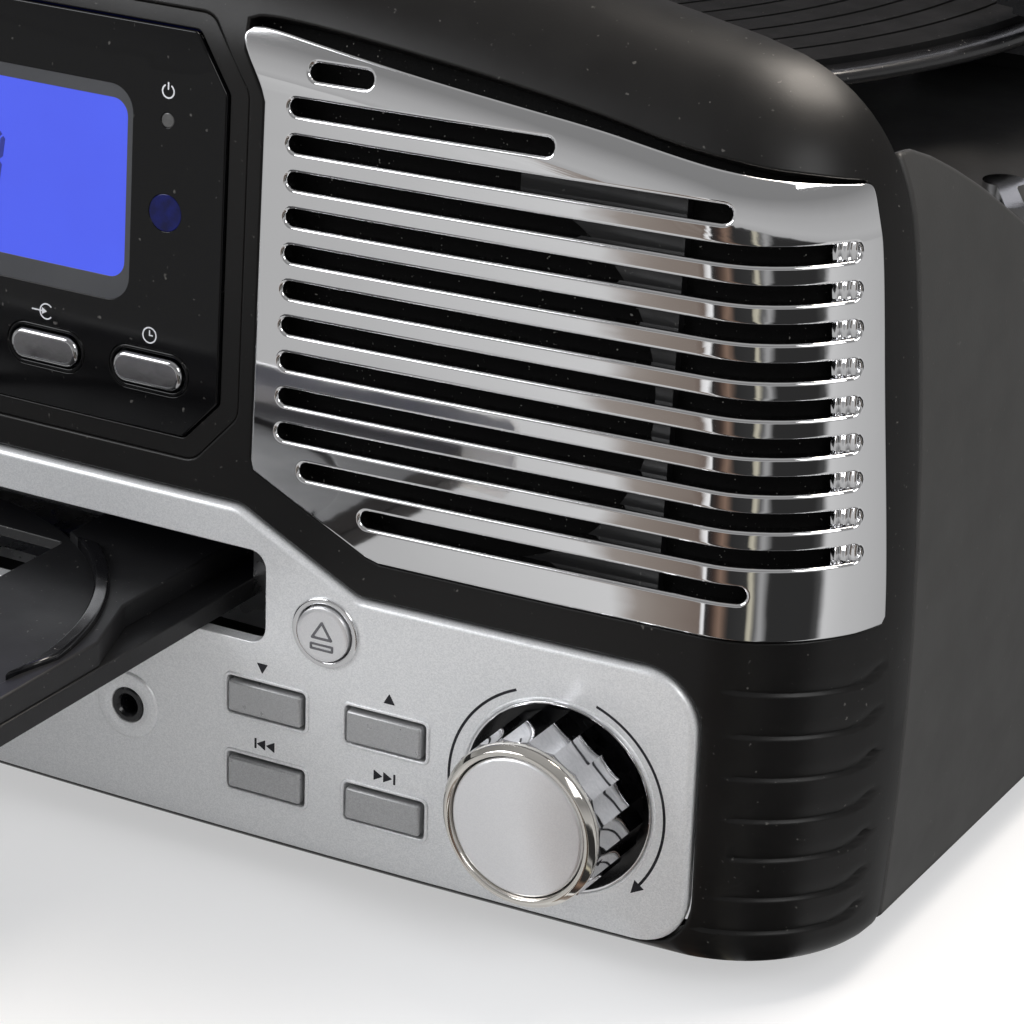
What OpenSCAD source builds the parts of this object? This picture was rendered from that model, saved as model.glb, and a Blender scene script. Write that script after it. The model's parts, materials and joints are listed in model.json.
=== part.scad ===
/* [Cabinet] */
// Width of the cabinet at its widest height
body_w = 368; // [362:1:384]
// Depth from the middle of the front to the back
body_d = 352; // [350:1:380]
// Height of the front at the middle of its arch
front_h = 174; // [172:1:180]
// Height of the feet
foot_h = 6; // [4:0.5:8]
// Thickness of the plastic walls
wall = 2.5; // [2:0.1:3]
// Gap left between neighbouring pieces
gap = 0.3; // [0.2:0.05:0.4]
// Depth of the front moulding, from the front to its seam
fascia_d = 33; // [32:0.5:36]
// Radius of the slight bow of the front, seen from above
bow_r = 2080; // [1800:10:3000]
// Radius of the front's upright corners
corner_r = 26; // [24:0.5:26]
// Radius of the bulge of the sides, seen from the front
side_r = 600; // [550:10:900]
// Height at which the sides are widest
side_z = 58; // [50:1:65]
// Radius of the arch along the top of the front
arch_r = 850; // [800:10:1100]
// Radius of the arch's two end corners
top_corner_r = 16; // [12:0.5:18]
// Radius of the roll from the front over to the top
roll_r = 26; // [22:0.5:26]
// Radius of the lower edges at the ends
bottom_r = 6; // [4:0.5:8]
// Height at which the front starts to lean back
break_z = 63; // [62:0.5:64]
// Lean of the upper front, in degrees
lean = 3.3; // [2.5:0.1:3.5]
// Height of the deck's top face
deck_z = 112; // [110:0.5:113]
// Height at which each side panel starts, behind the front
wing_z = 145; // [140:0.5:147]
// Depth at which the side panel's slope reaches the deck
wing_end_y = 97; // [90:1:110]

/* [Speaker grilles] */
// Distance from the middle to the grille's inner edge
grille_x = 73.8; // [72:0.2:76]
// Height of the grille's lower edge
grille_z = 67; // [66:0.5:68]
// Height of the grille's top arc at the middle of the front
grille_top_z = 158.5; // [157:0.5:159]
// Depth at which the grille ends on the corner
grille_end_y = 26; // [24:0.5:28]
// Metal-look skin thickness
grille_t = 2.2; // [1.6:0.1:2.6]
// How far the grille stands out of the front
grille_proud = 0.8; // [0.4:0.1:1]
// Number of slots
slot_count = 13; // [9:1:13]
// Height of a slot
slot_h = 2.8; // [2.2:0.1:3.2]
// Spacing of the slots
slot_pitch = 6.22; // [6:0.02:6.3]
// Height of the top slot
slot_top_z = 148.7; // [148:0.1:149]
// Radius of the loudspeakers' frames
speaker_r = 36; // [32:0.5:37]
// Distance of the loudspeakers from the middle
speaker_x = 114; // [112:0.5:116]
// Height of the loudspeakers' axes
speaker_z = 103; // [100:0.5:104]

/* [Display] */
// Half width of the display window
window_x = 66.2; // [64:0.2:68]
// Height of the window's lower edge
window_z = 81.8; // [80:0.2:84]
// Height of the window's upper edge
window_top_z = 152.4; // [150:0.2:153]
// Width of the window's cut corners
window_cut = 6.7; // [4:0.1:8]
// Width of the lit screen
lcd_w = 97; // [92:0.5:99]
// Height of the lit screen
lcd_h = 36; // [32:0.5:37]
// Height of the screen's middle
lcd_z = 123.2; // [121:0.2:125]
// Length of the small rounded keys under the screen
pill_w = 14.4; // [12:0.2:15.6]
// Height of the small rounded keys
pill_h = 5.8; // [5:0.2:6.8]
// Height at which the small rounded keys sit
pill_z = 92; // [91:0.5:93]
// Distance of the inner small rounded keys from the middle
pill_inner_x = 30.6; // [28:0.2:32]
// Distance of the outer small rounded keys from the middle
pill_outer_x = 52.2; // [51:0.2:54]

/* [Lower panel] */
// Half width of the silver panel
panel_x = 158.8; // [156:0.2:160]
// Height of the panel's lower edge
panel_z = 8.6; // [8.4:0.1:9]
// Height of the panel's upper edge at the ends
panel_top_z = 59.5; // [58:0.1:60]
// Height of the panel's raised middle
panel_mid_z = 71.7; // [70.5:0.1:72]
// Half width of the raised middle
panel_mid_x = 71; // [70:0.2:73]
// Distance from the middle at which the slanted shoulder ends
panel_shoulder_x = 96; // [93:0.5:99]
// Radius of the panel's end corners
panel_r = 10; // [8:0.5:12]
// Thickness of the panel
panel_t = 2.6; // [2:0.1:3]
// How far the panel stands out of the front
panel_proud = 0.6; // [0.3:0.1:1]
// Width of a long key
key_w = 14.7; // [13:0.1:15.5]
// Height of a long key
key_h = 5.9; // [5:0.1:6.5]
// Distance from the middle to the inner long keys
key_inner_x = 77.8; // [77:0.2:79]
// Distance from the middle to the outer long keys
key_outer_x = 101.6; // [99:0.2:103]
// Height of the upper long keys
key_upper_z = 36.2; // [35:0.1:37]
// Height of the lower long keys
key_lower_z = 21.4; // [20.5:0.1:23]
// Travel of the keys
key_travel = 1.2; // [0.8:0.1:1.5]
// Width of the rim round each key
rim_w = 1; // [0.7:0.1:1.2]
// Distance of the round key from the middle
eject_x = 89.5; // [88:0.1:91]
// Height of the round key
eject_z = 52.3; // [50.5:0.1:52.5]
// Radius of the round key
eject_r = 5.2; // [4.4:0.1:5.4]
// Distance of the front sockets from the middle
socket_x = 48.9; // [46:0.1:51]
// Height of the front sockets
socket_z = 28.5; // [26:0.1:31]

/* [Rotary knobs] */
// Distance of the knobs from the middle
knob_x = 134.5; // [133:0.1:136]
// Height of the knobs' axes
knob_z = 32.4; // [31.5:0.1:33.5]
// Radius of the knob's cap
knob_r = 14.5; // [13.5:0.1:14.9]
// Radius of the fluted skirt behind the cap
skirt_r = 15.1; // [14.5:0.1:17]
// Depth of the whole knob
knob_depth = 11.4; // [10.5:0.1:16]
// Number of flutes in the skirt
flute_count = 19; // [12:1:30]
// Radius of the shaft that carries a knob
shaft_r = 3; // [2.5:0.1:3.2]

/* [Disc tray] */
// Width of the disc tray
tray_w = 129; // [127:0.5:131]
// Height of the tray's underside
tray_z = 47.9; // [47.6:0.1:48.2]
// Thickness of the tray
tray_t = 8; // [7:0.1:8.5]
// Radius of the well for a disc
well_r = 61; // [60.5:0.1:61.5]
// Travel of the tray, from open to shut
tray_travel = 115; // [112:0.5:118]
// Half width of the tray's opening in the panel
slot_x = 77; // [76.5:0.1:78]
// Height of the opening's lower edge
slot_z = 46.6; // [46.2:0.1:47]
// Height of the opening's upper edge
slot_top = 64; // [63.5:0.1:65]

/* [Record deck] */
// Radius of the platter
platter_r = 146; // [144:0.5:147]
// Distance of the platter's axis left of the middle
platter_left = 2; // [0:0.5:4]
// Depth of the platter's axis
platter_y = 190; // [188:0.5:192]
// Height of the platter's top face
platter_z = 131; // [129:0.5:133]
// Thickness of the platter's plate
platter_t = 3.2; // [2.4:0.1:4]
// Thickness of the rubber mat
mat_t = 1.4; // [1:0.1:2]
// Radius of the centre pin
pin_r = 3.55; // [3:0.05:4]
// Radius of the spindle below the centre pin
spindle_r = 4.6; // [4.3:0.1:5]
// Running clearance of shafts in their bores
fit = 0.04; // [0.02:0.01:0.06]
// Radius of the drum that the belt drives
drum_r = 60; // [50:0.5:62]
// Distance from the platter's axis to the motor
motor_reach = 88; // [80:0.5:92]
// Radius of the motor's pulley
pulley_r = 6; // [4:0.1:7]
// Distance of the arm's pivot from the middle
arm_x = 148; // [146:0.5:149]
// Depth of the arm's pivot
arm_y = 306; // [304:0.5:308]
// Height of the arm's tube
arm_z = 145; // [143:0.5:147]
// Length of the arm from its pivot to the stylus
arm_len = 150; // [147:0.5:152]
// Turn of the parked arm away from straight ahead, in degrees
arm_park = 2; // [1.5:0.1:2.4]
// Radius of the arm's tube
tube_r = 3.2; // [2.8:0.1:3.6]
// Depth of the post that the parked arm lies over
rest_y = 200; // [196:1:202]
// Depth of the lever that lifts the arm
cue_y = 262; // [250:1:268]
// Distance of the speed lever from the middle
speed_x = 158; // [155:0.5:160]
// Gap between the speed lever's tip and the inside of the closed cover
speed_gap = 0.7; // [0.6:0.1:3]
// Depth of the speed lever
speed_y = 123; // [118:0.5:130]

/* [Dust cover] */
// Half width of the dust cover
cover_x = 171; // [169:0.5:172]
// Height of the dust cover
cover_h = 52; // [48:0.5:56]
// Thickness of the dust cover
cover_t = 2.2; // [1.8:0.1:2.6]
// Angle at which the cover stands open, in degrees
cover_open = 72; // [60:1:75]

/* [Back] */
// Distance of the pair of round sockets from the middle
rca_x = 110; // [106:1:140]
// Height of the round sockets
rca_z = 40; // [30:1:80]
// Distance of the mains inlet left of the middle
inlet_left = 120; // [106:1:150]
// Height of the mains inlet
inlet_z = 40; // [30:1:60]

/* [Hidden] */
$fn = 96;

half_w = body_w / 2;
usual_w = 368;
usual_d = 352;
wider = (body_w - usual_w) / 2;
deeper = body_d - usual_d;
platter_at_r = platter_r + min(wider, deeper / 2);
corner_x = half_w - corner_r;
bow_steps = 8;
ledge = 0.15;
corner_y = corner_r + bow(corner_x);
big = 3 * body_w;
roll_front = (front_h - roll_r - break_z) * tan(lean);
arch_c = front_h - arch_r;
top_c = meet(half_w - side_r, side_z, side_r - top_corner_r, 0, arch_c, arch_r - top_corner_r);
bottom_cz = foot_h + bottom_r;
bottom_cx = half_w - side_r + sqrt(pow(side_r - bottom_r, 2) - pow(bottom_cz - side_z, 2));
slot_ends = [92.7, 123, 160];
slot_last_end = 166;
window_cut_top = window_cut * 1.4;
baffle_y = 8;
baffle_t = 2;
shelf_low = panel_top_z + gap + 2.2;
baffle_low = shelf_low + (baffle_y + baffle_t) * tan(lean) + gap / 3;
baffle_top = speaker_z + speaker_r + 0.5;
top_solid = roll_r - 6;
side_reach = 100;
key_front = 1.2;
key_depth = 5;
board_t = 1.6;
encoder_d = 12;
flute_r = 2.6;
flute_deep = 0.85;
deck_t = 3;
deck_low = deck_z - deck_t;
seam = fascia_d + gap;
back_y = body_d - wall;
tray_low_t = 3.5;
tray_front = -116.5;
tray_plate = 2.5;
tray_back = 38;
well_y = -46;
tray_narrow = 59;
chassis_y = 16;
chassis_end = tray_back + tray_travel + 5;
rail_x = tray_w / 2 + gap;
mat_r = platter_at_r - 5;
platter_low = platter_z - platter_t;
drum_z = deck_z + 1.2;
motor_a = 205;
motor_x = -platter_left + motor_reach * cos(motor_a);
motor_y = platter_y + motor_reach * sin(motor_a);
plinth_t = 3;
plinth_z = deck_z + plinth_t;
plinth_x = half_w - 82;
plinth_end = half_w - 19;
plinth_y = back_y - 141.5;
pillar_r = 15;
pillar_top = arm_z - 13;
head_len = 34;
hinge_y = body_d - 6;
hinge_z = deck_z + 5;
arm_at_x = arm_x + wider;
arm_at_y = arm_y + deeper;
rest_at_y = rest_y + deeper;
cue_at_y = cue_y + deeper;
cover_half = cover_x + wider;
speed_turn = 60;
speed_w = 3.6;
speed_at_x = speed_x + wider;
speed_room = cover_half - cover_t - speed_gap - speed_at_x;
speed_len = (speed_room - speed_w / 2 * sin(speed_turn)) / cos(speed_turn);
hinge_x = cover_half - 51;
hinge_w = 26;
cover_front = seam + 1.2;
cover_seat = deck_z + 0.6;
board_w = 120;
board_x = 34 - half_w;
board_y = back_y - 149.5;
inlet_x = -inlet_left;
cue_x = arm_at_x + 8;
cue_z = plinth_z + 6;
screw_x = [-84, -36, 36, 84];
screw_z = 20;
base_screw_x = half_w - 124;
base_screw_y = [100, back_y - 99];
groove_z = 58.5;
groove_pitch = 7.42;

// How far the bow takes the front back at a distance from the middle
function bow(x) = bow_r - sqrt(bow_r * bow_r - x * x);

// Where two circles cross, on the right
function meet(x0, z0, r0, x1, z1, r1) =
    let (
        d = norm([x1 - x0, z1 - z0]),
        a = (r0 * r0 - r1 * r1 + d * d) / (2 * d),
        h = sqrt(r0 * r0 - a * a),
        ux = (x1 - x0) / d,
        uz = (z1 - z0) / d,
        p = [x0 + a * ux - h * uz, z0 + a * uz + h * ux],
        q = [x0 + a * ux + h * uz, z0 + a * uz - h * ux]
    )
    p[1] > q[1] ? p : q;

// Depth of the front's surface at a place on it
function front_y(x, z) = bow(x) + (z > break_z ? (z - break_z) * tan(lean) : ledge);

// ---- outlines ----

module plan_outline(inset) {
    union() {
        polygon(bow_points(corner_x, inset));
        translate([inset - half_w, corner_y])
            square([body_w - 2 * inset, body_d]);
        for (s = [-1, 1])
            translate([s * corner_x, corner_y])
                circle(r = corner_r - inset);
    }
}

// The bowed front out to a distance from the middle, closed far behind it
function bow_points(reach, inset) = concat(
    [for (i = [-bow_steps : bow_steps]) let (x = i * reach / bow_steps) [x, bow(x) + inset]],
    [[reach, body_d], [-reach, body_d]]
);

module side_circles(inset) {
    intersection_for (s = [-1, 1])
        translate([s * (half_w - side_r), side_z])
            circle(r = side_r - inset, $fn = 360);
}

module elevation_outline(inset) {
    intersection() {
        side_circles(inset);
        union() {
            polygon([
                [top_c[0], foot_h + inset], top_c, top_c * 1.1 - [0, arch_c * 0.1],
                [-top_c[0], top_c[1]] * 1.1 - [0, arch_c * 0.1],
                [-top_c[0], top_c[1]], [-top_c[0], foot_h + inset]
            ]);
            translate([-half_w, foot_h + inset])
                square([body_w, top_c[1] - foot_h - inset]);
            for (s = [-1, 1])
                translate([s * top_c[0], top_c[1]])
                    circle(r = top_corner_r - inset);
        }
        union() {
            translate([-bottom_cx, foot_h + inset])
                square([2 * bottom_cx, front_h]);
            translate([-half_w, bottom_cz])
                square([body_w, front_h]);
            for (s = [-1, 1])
                translate([s * bottom_cx, bottom_cz])
                    circle(r = bottom_r - inset);
        }
    }
}

// An outline in X and Z, made solid along Y
module along_y(y0, y1) {
    translate([0, y1, 0])
        rotate([90, 0, 0])
            linear_extrude(height = y1 - y0)
                children();
}

module leaned() {
    translate([0, 0, break_z])
        rotate([-lean, 0, 0])
            translate([0, 0, -break_z])
                children();
}

// All that lies behind the front's surface, as deep as the seam
module front_solid(inset, depth = fascia_d) {
    intersection() {
        union() {
            linear_extrude(height = break_z)
                plan_outline(inset + ledge);
            intersection() {
                leaned()
                    translate([0, 0, break_z - 20])
                        linear_extrude(height = front_h)
                            plan_outline(inset);
                translate([-big, -20, break_z])
                    cube([2 * big, body_d, front_h]);
            }
        }
        along_y(-10, depth)
            elevation_outline(inset);
        translate([0, depth, arch_c])
            rotate([90, 0, 0])
                rotate_extrude($fn = 360)
                    roll_section(inset, depth);
    }
}

module roll_section(inset, depth) {
    hub = depth - roll_front - roll_r;
    square([arch_r - roll_r, depth + 20]);
    square([arch_r - inset, max(hub, 0.5)]);
    translate([arch_r - roll_r, hub])
        intersection() {
            circle(r = roll_r - inset);
            translate([0, -hub])
                square([roll_r, depth + 20]);
        }
}

module window_outline(grow) {
    x = window_x + grow;
    z0 = window_z - grow;
    z1 = window_top_z + grow;
    polygon([
        [x, z0 + window_cut], [x, z1 - window_cut_top], [x - window_cut, z1],
        [window_cut - x, z1], [-x, z1 - window_cut_top], [-x, z0 + window_cut],
        [window_cut - x, z0], [x - window_cut, z0]
    ]);
}

module grille_outline(grow) {
    lo = grille_z - grow;
    le = grille_x - grow;
    intersection() {
        translate([0, grille_top_z - arch_r])
            circle(r = arch_r + grow, $fn = 360);
        polygon([
            [le - 3.5, front_h], [le - 3.5, slot_top_z + 5.5], [le, slot_top_z - 3],
            [le, lo + 13], [le + 24, lo], [half_w + 10, lo], [half_w + 10, front_h]
        ]);
    }
}

module panel_outline(grow) {
    x = panel_x + grow;
    z0 = panel_z - grow;
    z1 = panel_top_z + grow;
    r = panel_r + grow;
    union() {
        translate([-x, z0 + r])
            square([2 * x, z1 - z0 - 2 * r]);
        translate([r - x, z0])
            square([2 * (x - r), z1 - z0]);
        for (s = [-1, 1], z = [z0 + r, z1 - r])
            translate([s * (x - r), z])
                circle(r = r);
        polygon([
            [-panel_shoulder_x - grow, z1 - 1], [panel_shoulder_x + grow, z1 - 1],
            [panel_shoulder_x + grow, z1], [panel_mid_x + grow, panel_mid_z + grow],
            [-panel_mid_x - grow, panel_mid_z + grow], [-panel_shoulder_x - grow, z1]
        ]);
    }
}

module rounded(w, h, r) {
    square([w - 2 * r, h], center = true);
    square([w, h - 2 * r], center = true);
    for (x = [-1, 1], z = [-1, 1])
        translate([x * (w / 2 - r), z * (h / 2 - r)])
            circle(r = r, $fn = 32);
}

// A skin that follows the front, from one inset to a deeper one
module skin(inset, thick) {
    difference() {
        front_solid(inset);
        front_solid(inset + thick, fascia_d + 1);
    }
}

// ---- front moulding ----

module fascia() {
    color("#1d1c1b")
        difference() {
            union() {
                difference() {
                    front_solid(0);
                    front_cavity();
                }
                shelves();
            }
            along_y(-20, 14)
                window_outline(gap);
            for (s = [0, 1])
                mirror([s, 0, 0])
                    grille_hole();
            along_y(-20, 22)
                panel_outline(gap);
            corner_grooves();
        }
}

// Shallow lines round both lower corners
module corner_grooves() {
    difference() {
        for (i = [0 : 6], s = [-1, 1])
            translate([s > 0 ? 165 : -195, -10, groove_z - i * groove_pitch - 0.7])
                cube([30, 37, 1.4]);
        front_solid(0.9);
    }
}

// The hollow of the front moulding, closed at the back above the deck
module front_cavity() {
    difference() {
        intersection() {
            union() {
                translate([0, 0, foot_h + wall])
                    linear_extrude(height = break_z - foot_h - wall)
                        cavity_plan(2 * ledge);
                intersection() {
                    leaned()
                        translate([0, 0, break_z - 10])
                            linear_extrude(height = front_h)
                                cavity_plan(0);
                    translate([-big, -20, break_z - 1])
                        cube([2 * big, body_d, front_h]);
                }
            }
            along_y(-10, fascia_d + 1)
                translate([0, arch_c])
                    circle(r = arch_r - top_solid, $fn = 360);
        }
        translate([-half_w, fascia_d - wall, deck_low - 1])
            cube([body_w, 50, front_h]);
    }
}

module cavity_plan(less) {
    polygon(bow_points(corner_x - less, wall + less));
    translate([less - corner_x - 14, fascia_d - 15 + less])
        square([2 * (corner_x + 14 - less), body_d]);
}

module grille_hole() {
    intersection() {
        along_y(-20, grille_end_y + gap)
            grille_outline(gap);
        translate([0, -20, 0])
            cube([half_w + 5, 20 + grille_end_y + gap, front_h]);
    }
}

// A ledge inside the front that each loudspeaker board stands on
module shelves() {
    for (s = [-1, 1])
        intersection() {
            linear_extrude(height = break_z)
                plan_outline(wall / 2);
            translate([s * speaker_x - 34, 0, shelf_low - 1.6])
                cube([68, baffle_y + baffle_t + 4, 1.6]);
        }
}

module grille_right() {
    color("#cfd2d6")
        difference() {
            intersection() {
                skin(-grille_proud, grille_t);
                along_y(-20, grille_end_y)
                    grille_outline(0);
                translate([0, -20, 0])
                    cube([half_w + 5, 20 + grille_end_y, front_h]);
            }
            for (i = [0 : slot_count - 1])
                grille_slot(i);
        }
}

module grille_slot(i) {
    z = slot_top_z - i * slot_pitch;
    first = i == slot_count - 1 ? 95.5 : i == slot_count - 2 ? 84 : i == 0 ? 82.5 : grille_x + 4.8;
    last = i < 3 ? slot_ends[i] : i == slot_count - 1 ? slot_last_end : half_w + 5;
    reach = i < 3 || i == slot_count - 1 ? 20 : grille_end_y - 3.5;
    x0 = first + slot_h / 2;
    x1 = last - slot_h / 2;
    translate([x0, -10, z - slot_h / 2])
        cube([x1 - x0, reach + 10, slot_h]);
    for (x = [x0, x1])
        translate([x, -10, z])
            rotate([-90, 0, 0])
                cylinder(d = slot_h, h = reach + 10, $fn = 24);
}

module grille_left() {
    mirror([1, 0, 0])
        grille_right();
}

module speaker_baffles() {
    color("#161616")
        for (s = [-1, 1])
            leaned()
                difference() {
                    translate([s * speaker_x - 35, baffle_y, baffle_low])
                        cube([70, baffle_t, baffle_top - baffle_low]);
                    translate([s * speaker_x, 0, speaker_z])
                        rotate([-90, 0, 0])
                            cylinder(r = speaker_r - 4, h = 30);
                }
}

module speaker_frames() {
    color("#3a3a3c")
        for (s = [-1, 1])
            leaned()
                translate([s * speaker_x, baffle_y + baffle_t, speaker_z])
                    rotate([-90, 0, 0])
                        difference() {
                            union() {
                                intersection() {
                                    cylinder(r = speaker_r, h = 1.6);
                                    translate([-34.5, -speaker_r, 0])
                                        cube([69, 2 * speaker_r, 2]);
                                }
                                cylinder(r = speaker_r - 5, h = 9);
                                cylinder(r = speaker_r / 2, h = 16);
                            }
                            translate([0, 0, -1])
                                cylinder(r = speaker_r - 6.5, h = 8.5);
                        }
}

module speaker_cones() {
    color("#232325")
        for (s = [-1, 1])
            leaned()
                translate([s * speaker_x, baffle_y + baffle_t, speaker_z])
                    rotate([-90, 0, 0])
                        rotate_extrude()
                            cone_section();
}

// Half of the cone with its surround and dust cap
module cone_section() {
    r = speaker_r - 7;
    polygon([
        [0, 4], [7, 5.2], [9, 5.6], [r - 4, 1.2], [r - 2, 0.2], [r, 1],
        [r, 2.2], [r - 2, 1.6], [r - 4, 2.6], [9, 7.2], [0, 7.2]
    ]);
}

// ---- display ----

module display_window() {
    color("#0b0b0d")
        difference() {
            intersection() {
                leaned()
                    linear_extrude(height = front_h)
                        difference() {
                            plan_outline(0.2);
                            plan_outline(2.6);
                        }
                along_y(-20, 14)
                    window_outline(0);
            }
            for (x = pill_places())
                pill_hole(x, rim_w + gap);
            translate([0, 0, lcd_z])
                along_y(-20, 20)
                    rounded(lcd_w + 2 * gap, lcd_h + 2 * gap, 2 + gap);
        }
}

function pill_places() = [-pill_outer_x, -pill_inner_x, pill_inner_x, pill_outer_x];

module pill_shape(grow) {
    rounded(pill_w + 2 * grow, pill_h + 2 * grow, pill_h / 2 + grow - 0.05);
}

module pill_hole(x, grow) {
    translate([x, 0, pill_z])
        along_y(-20, 20)
            pill_shape(grow);
}

module lcd_module() {
    color("#4a55e0")
        translate([0, 0.6 + (lcd_z - break_z) * tan(lean), lcd_z])
            rotate([-lean, 0, 0])
                union() {
                    along_y(0, 4)
                        rounded(lcd_w, lcd_h, 2);
                    translate([-lcd_w / 2 - 3, 3.4, -lcd_h / 2 - 3])
                        cube([lcd_w + 6, 2, lcd_h + 6]);
                }
}

module pill_key(x) {
    y = front_y(x, pill_z);
    color("#c9ccd0")
        translate([x, 0, pill_z])
            union() {
                along_y(y - 0.7, y + 4)
                    pill_shape(-gap / 2);
                along_y(y + 3, y + 4)
                    pill_shape(rim_w);
            }
}

module pill_source() {
    pill_key(pill_inner_x);
}

module pill_timer() {
    pill_key(pill_outer_x);
}

module pill_clock() {
    pill_key(-pill_inner_x);
}

module pill_tone() {
    pill_key(-pill_outer_x);
}

// ---- lower panel ----

module lower_panel() {
    color("#b9bcc0")
        difference() {
            intersection() {
                skin(-panel_proud, panel_t);
                along_y(-20, 20)
                    panel_outline(0);
            }
            along_y(-20, 20)
                translate([0, (slot_z + slot_top) / 2])
                    rounded(2 * slot_x, slot_top - slot_z, 2.5);
            for (s = [-1, 1]) {
                for (x = [key_inner_x, key_outer_x], z = [key_upper_z, key_lower_z])
                    translate([s * x, 0, z])
                        along_y(-20, 20)
                            rounded(key_w + 2 * rim_w, key_h + 2 * rim_w, 1);
                translate([s * knob_x, -10, knob_z])
                    rotate([-90, 0, 0])
                        cylinder(r = shaft_r + 0.5, h = 30);
            }
            translate([eject_x, -10, eject_z])
                rotate([-90, 0, 0])
                    cylinder(r = eject_r + rim_w + gap, h = 30);
            translate([socket_x, -10, socket_z])
                rotate([-90, 0, 0])
                    cylinder(r = 3.2, h = 30);
            translate([-socket_x - 7, -10, socket_z - 3.4])
                cube([14, 30, 6.8]);
        }
}

module long_key(x, z) {
    y = front_y(x, z) - panel_proud;
    color("#a8a9ab")
        translate([x, 0, z])
            union() {
                along_y(y - key_front, y + key_depth)
                    rounded(key_w - gap, key_h - gap, 0.8);
                along_y(y + key_depth - 1.2, y + key_depth)
                    rounded(key_w + 2 * rim_w, key_h + 2 * rim_w, 0.8);
            }
}

module key_preset_down() {
    long_key(key_inner_x, key_upper_z);
}

module key_preset_up() {
    long_key(key_outer_x, key_upper_z);
}

module key_skip_back() {
    long_key(key_inner_x, key_lower_z);
}

module key_skip_forward() {
    long_key(key_outer_x, key_lower_z);
}

module key_play() {
    long_key(-key_outer_x, key_upper_z);
}

module key_stop() {
    long_key(-key_inner_x, key_upper_z);
}

module key_program() {
    long_key(-key_outer_x, key_lower_z);
}

module key_repeat() {
    long_key(-key_inner_x, key_lower_z);
}

module eject_button() {
    y = front_y(eject_x, eject_z) - panel_proud;
    color("#b4b6b8")
        translate([eject_x, y - 1.2, eject_z])
            rotate([-90, 0, 0])
                union() {
                    cylinder(r = eject_r - gap / 2, h = 6);
                    translate([0, 0, 5])
                        cylinder(r = eject_r + rim_w, h = 1);
                }
}

// Chrome rims round the keys
module button_bezels() {
    color("#d6d8da") {
        for (s = [-1, 1], x = [key_inner_x, key_outer_x], z = [key_upper_z, key_lower_z])
            translate([s * x, 0, z])
                along_y(front_y(x, z) - panel_proud - 0.5, front_y(x, z) + 1.6)
                    difference() {
                        rounded(key_w + 2 * rim_w - gap, key_h + 2 * rim_w - gap, 1);
                        rounded(key_w + gap, key_h + gap, 0.8);
                    }
        for (x = pill_places())
            translate([x, 0, pill_z])
                along_y(front_y(x, pill_z) - 0.2, front_y(x, pill_z) + 2.4)
                    difference() {
                        pill_shape(rim_w);
                        pill_shape(gap / 2);
                    }
        translate([eject_x, front_y(eject_x, eject_z) - panel_proud - 0.8, eject_z])
            rotate([-90, 0, 0])
                difference() {
                    cylinder(r = eject_r + rim_w, h = 3);
                    translate([0, 0, -1])
                        cylinder(r = eject_r + gap / 2, h = 5);
                }
    }
}

module line_jack() {
    y = front_y(socket_x, socket_z) - panel_proud;
    color("#18181a")
        translate([socket_x, y - 0.6, socket_z])
            rotate([-90, 0, 0])
                difference() {
                    union() {
                        cylinder(r = 3, h = 12);
                        translate([-4, -4, 3.6])
                            cube([8, 8, 11]);
                    }
                    translate([0, 0, -1])
                        cylinder(r = 1.8, h = 13);
                }
}

module usb_socket() {
    y = front_y(socket_x, socket_z) - panel_proud;
    color("#8d9094")
        difference() {
            translate([-socket_x - 6.6, y, socket_z - 2.9])
                cube([13.2, 14, 5.8]);
            translate([-socket_x - 6, y - 1, socket_z - 2.3])
                cube([12, 12, 4.6]);
        }
}

// ---- knobs ----

module knob_cap() {
    rotate([90, 0, 0])
        rotate_extrude()
            difference() {
                polygon([
                    [0, knob_depth - 1.1], [knob_r - 0.6, knob_depth - 1.1], [knob_r, knob_depth - 0.4],
                    [knob_r, knob_depth + 0.4], [knob_r - 0.8, knob_depth + 1.6],
                    [knob_r - 1.8, knob_depth + 1.3], [knob_r * 0.7, knob_depth + 1.8], [0, knob_depth + 2.3]
                ]);
            }
}

module tuning_knob() {
    color("#c8cacc")
        translate([knob_x, knob_base(), knob_z])
            knob_cap();
}

// The knob stands clear of the panel at its inner edge, where the bow is foremost
function knob_base() = bow(knob_x - skirt_r) + ledge - panel_proud - gap;

module knob_skirt() {
    rotate([90, 0, 0])
        difference() {
            cylinder(r = skirt_r, h = knob_depth - 1.1);
            translate([0, 0, -1])
                cylinder(r = shaft_r + fit, h = knob_depth - 4);
            for (i = [0 : flute_count - 1])
                rotate([0, 0, (i + 0.5) * 360 / flute_count])
                    translate([skirt_r + flute_r - flute_deep, 0, -1])
                        cylinder(r = flute_r, h = knob_depth * 2, $fn = 24);
        }
}

module tuning_skirt() {
    color("#d0d2d4")
        translate([knob_x, knob_base(), knob_z])
            knob_skirt();
}

module volume_knob() {
    mirror([1, 0, 0])
        tuning_knob();
}

module volume_skirt() {
    mirror([1, 0, 0])
        tuning_skirt();
}

module rotary_encoders() {
    color("#6f7276")
        for (s = [-1, 1])
            translate([s * knob_x, knob_base() + encoder_d, knob_z])
                rotate([90, 0, 0])
                    union() {
                        cylinder(r = shaft_r, h = encoder_d + knob_depth - 6);
                        translate([-6.5, -6.5, 0])
                            cube([13, 13, 7]);
                    }
}

// ---- disc drive ----

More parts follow.
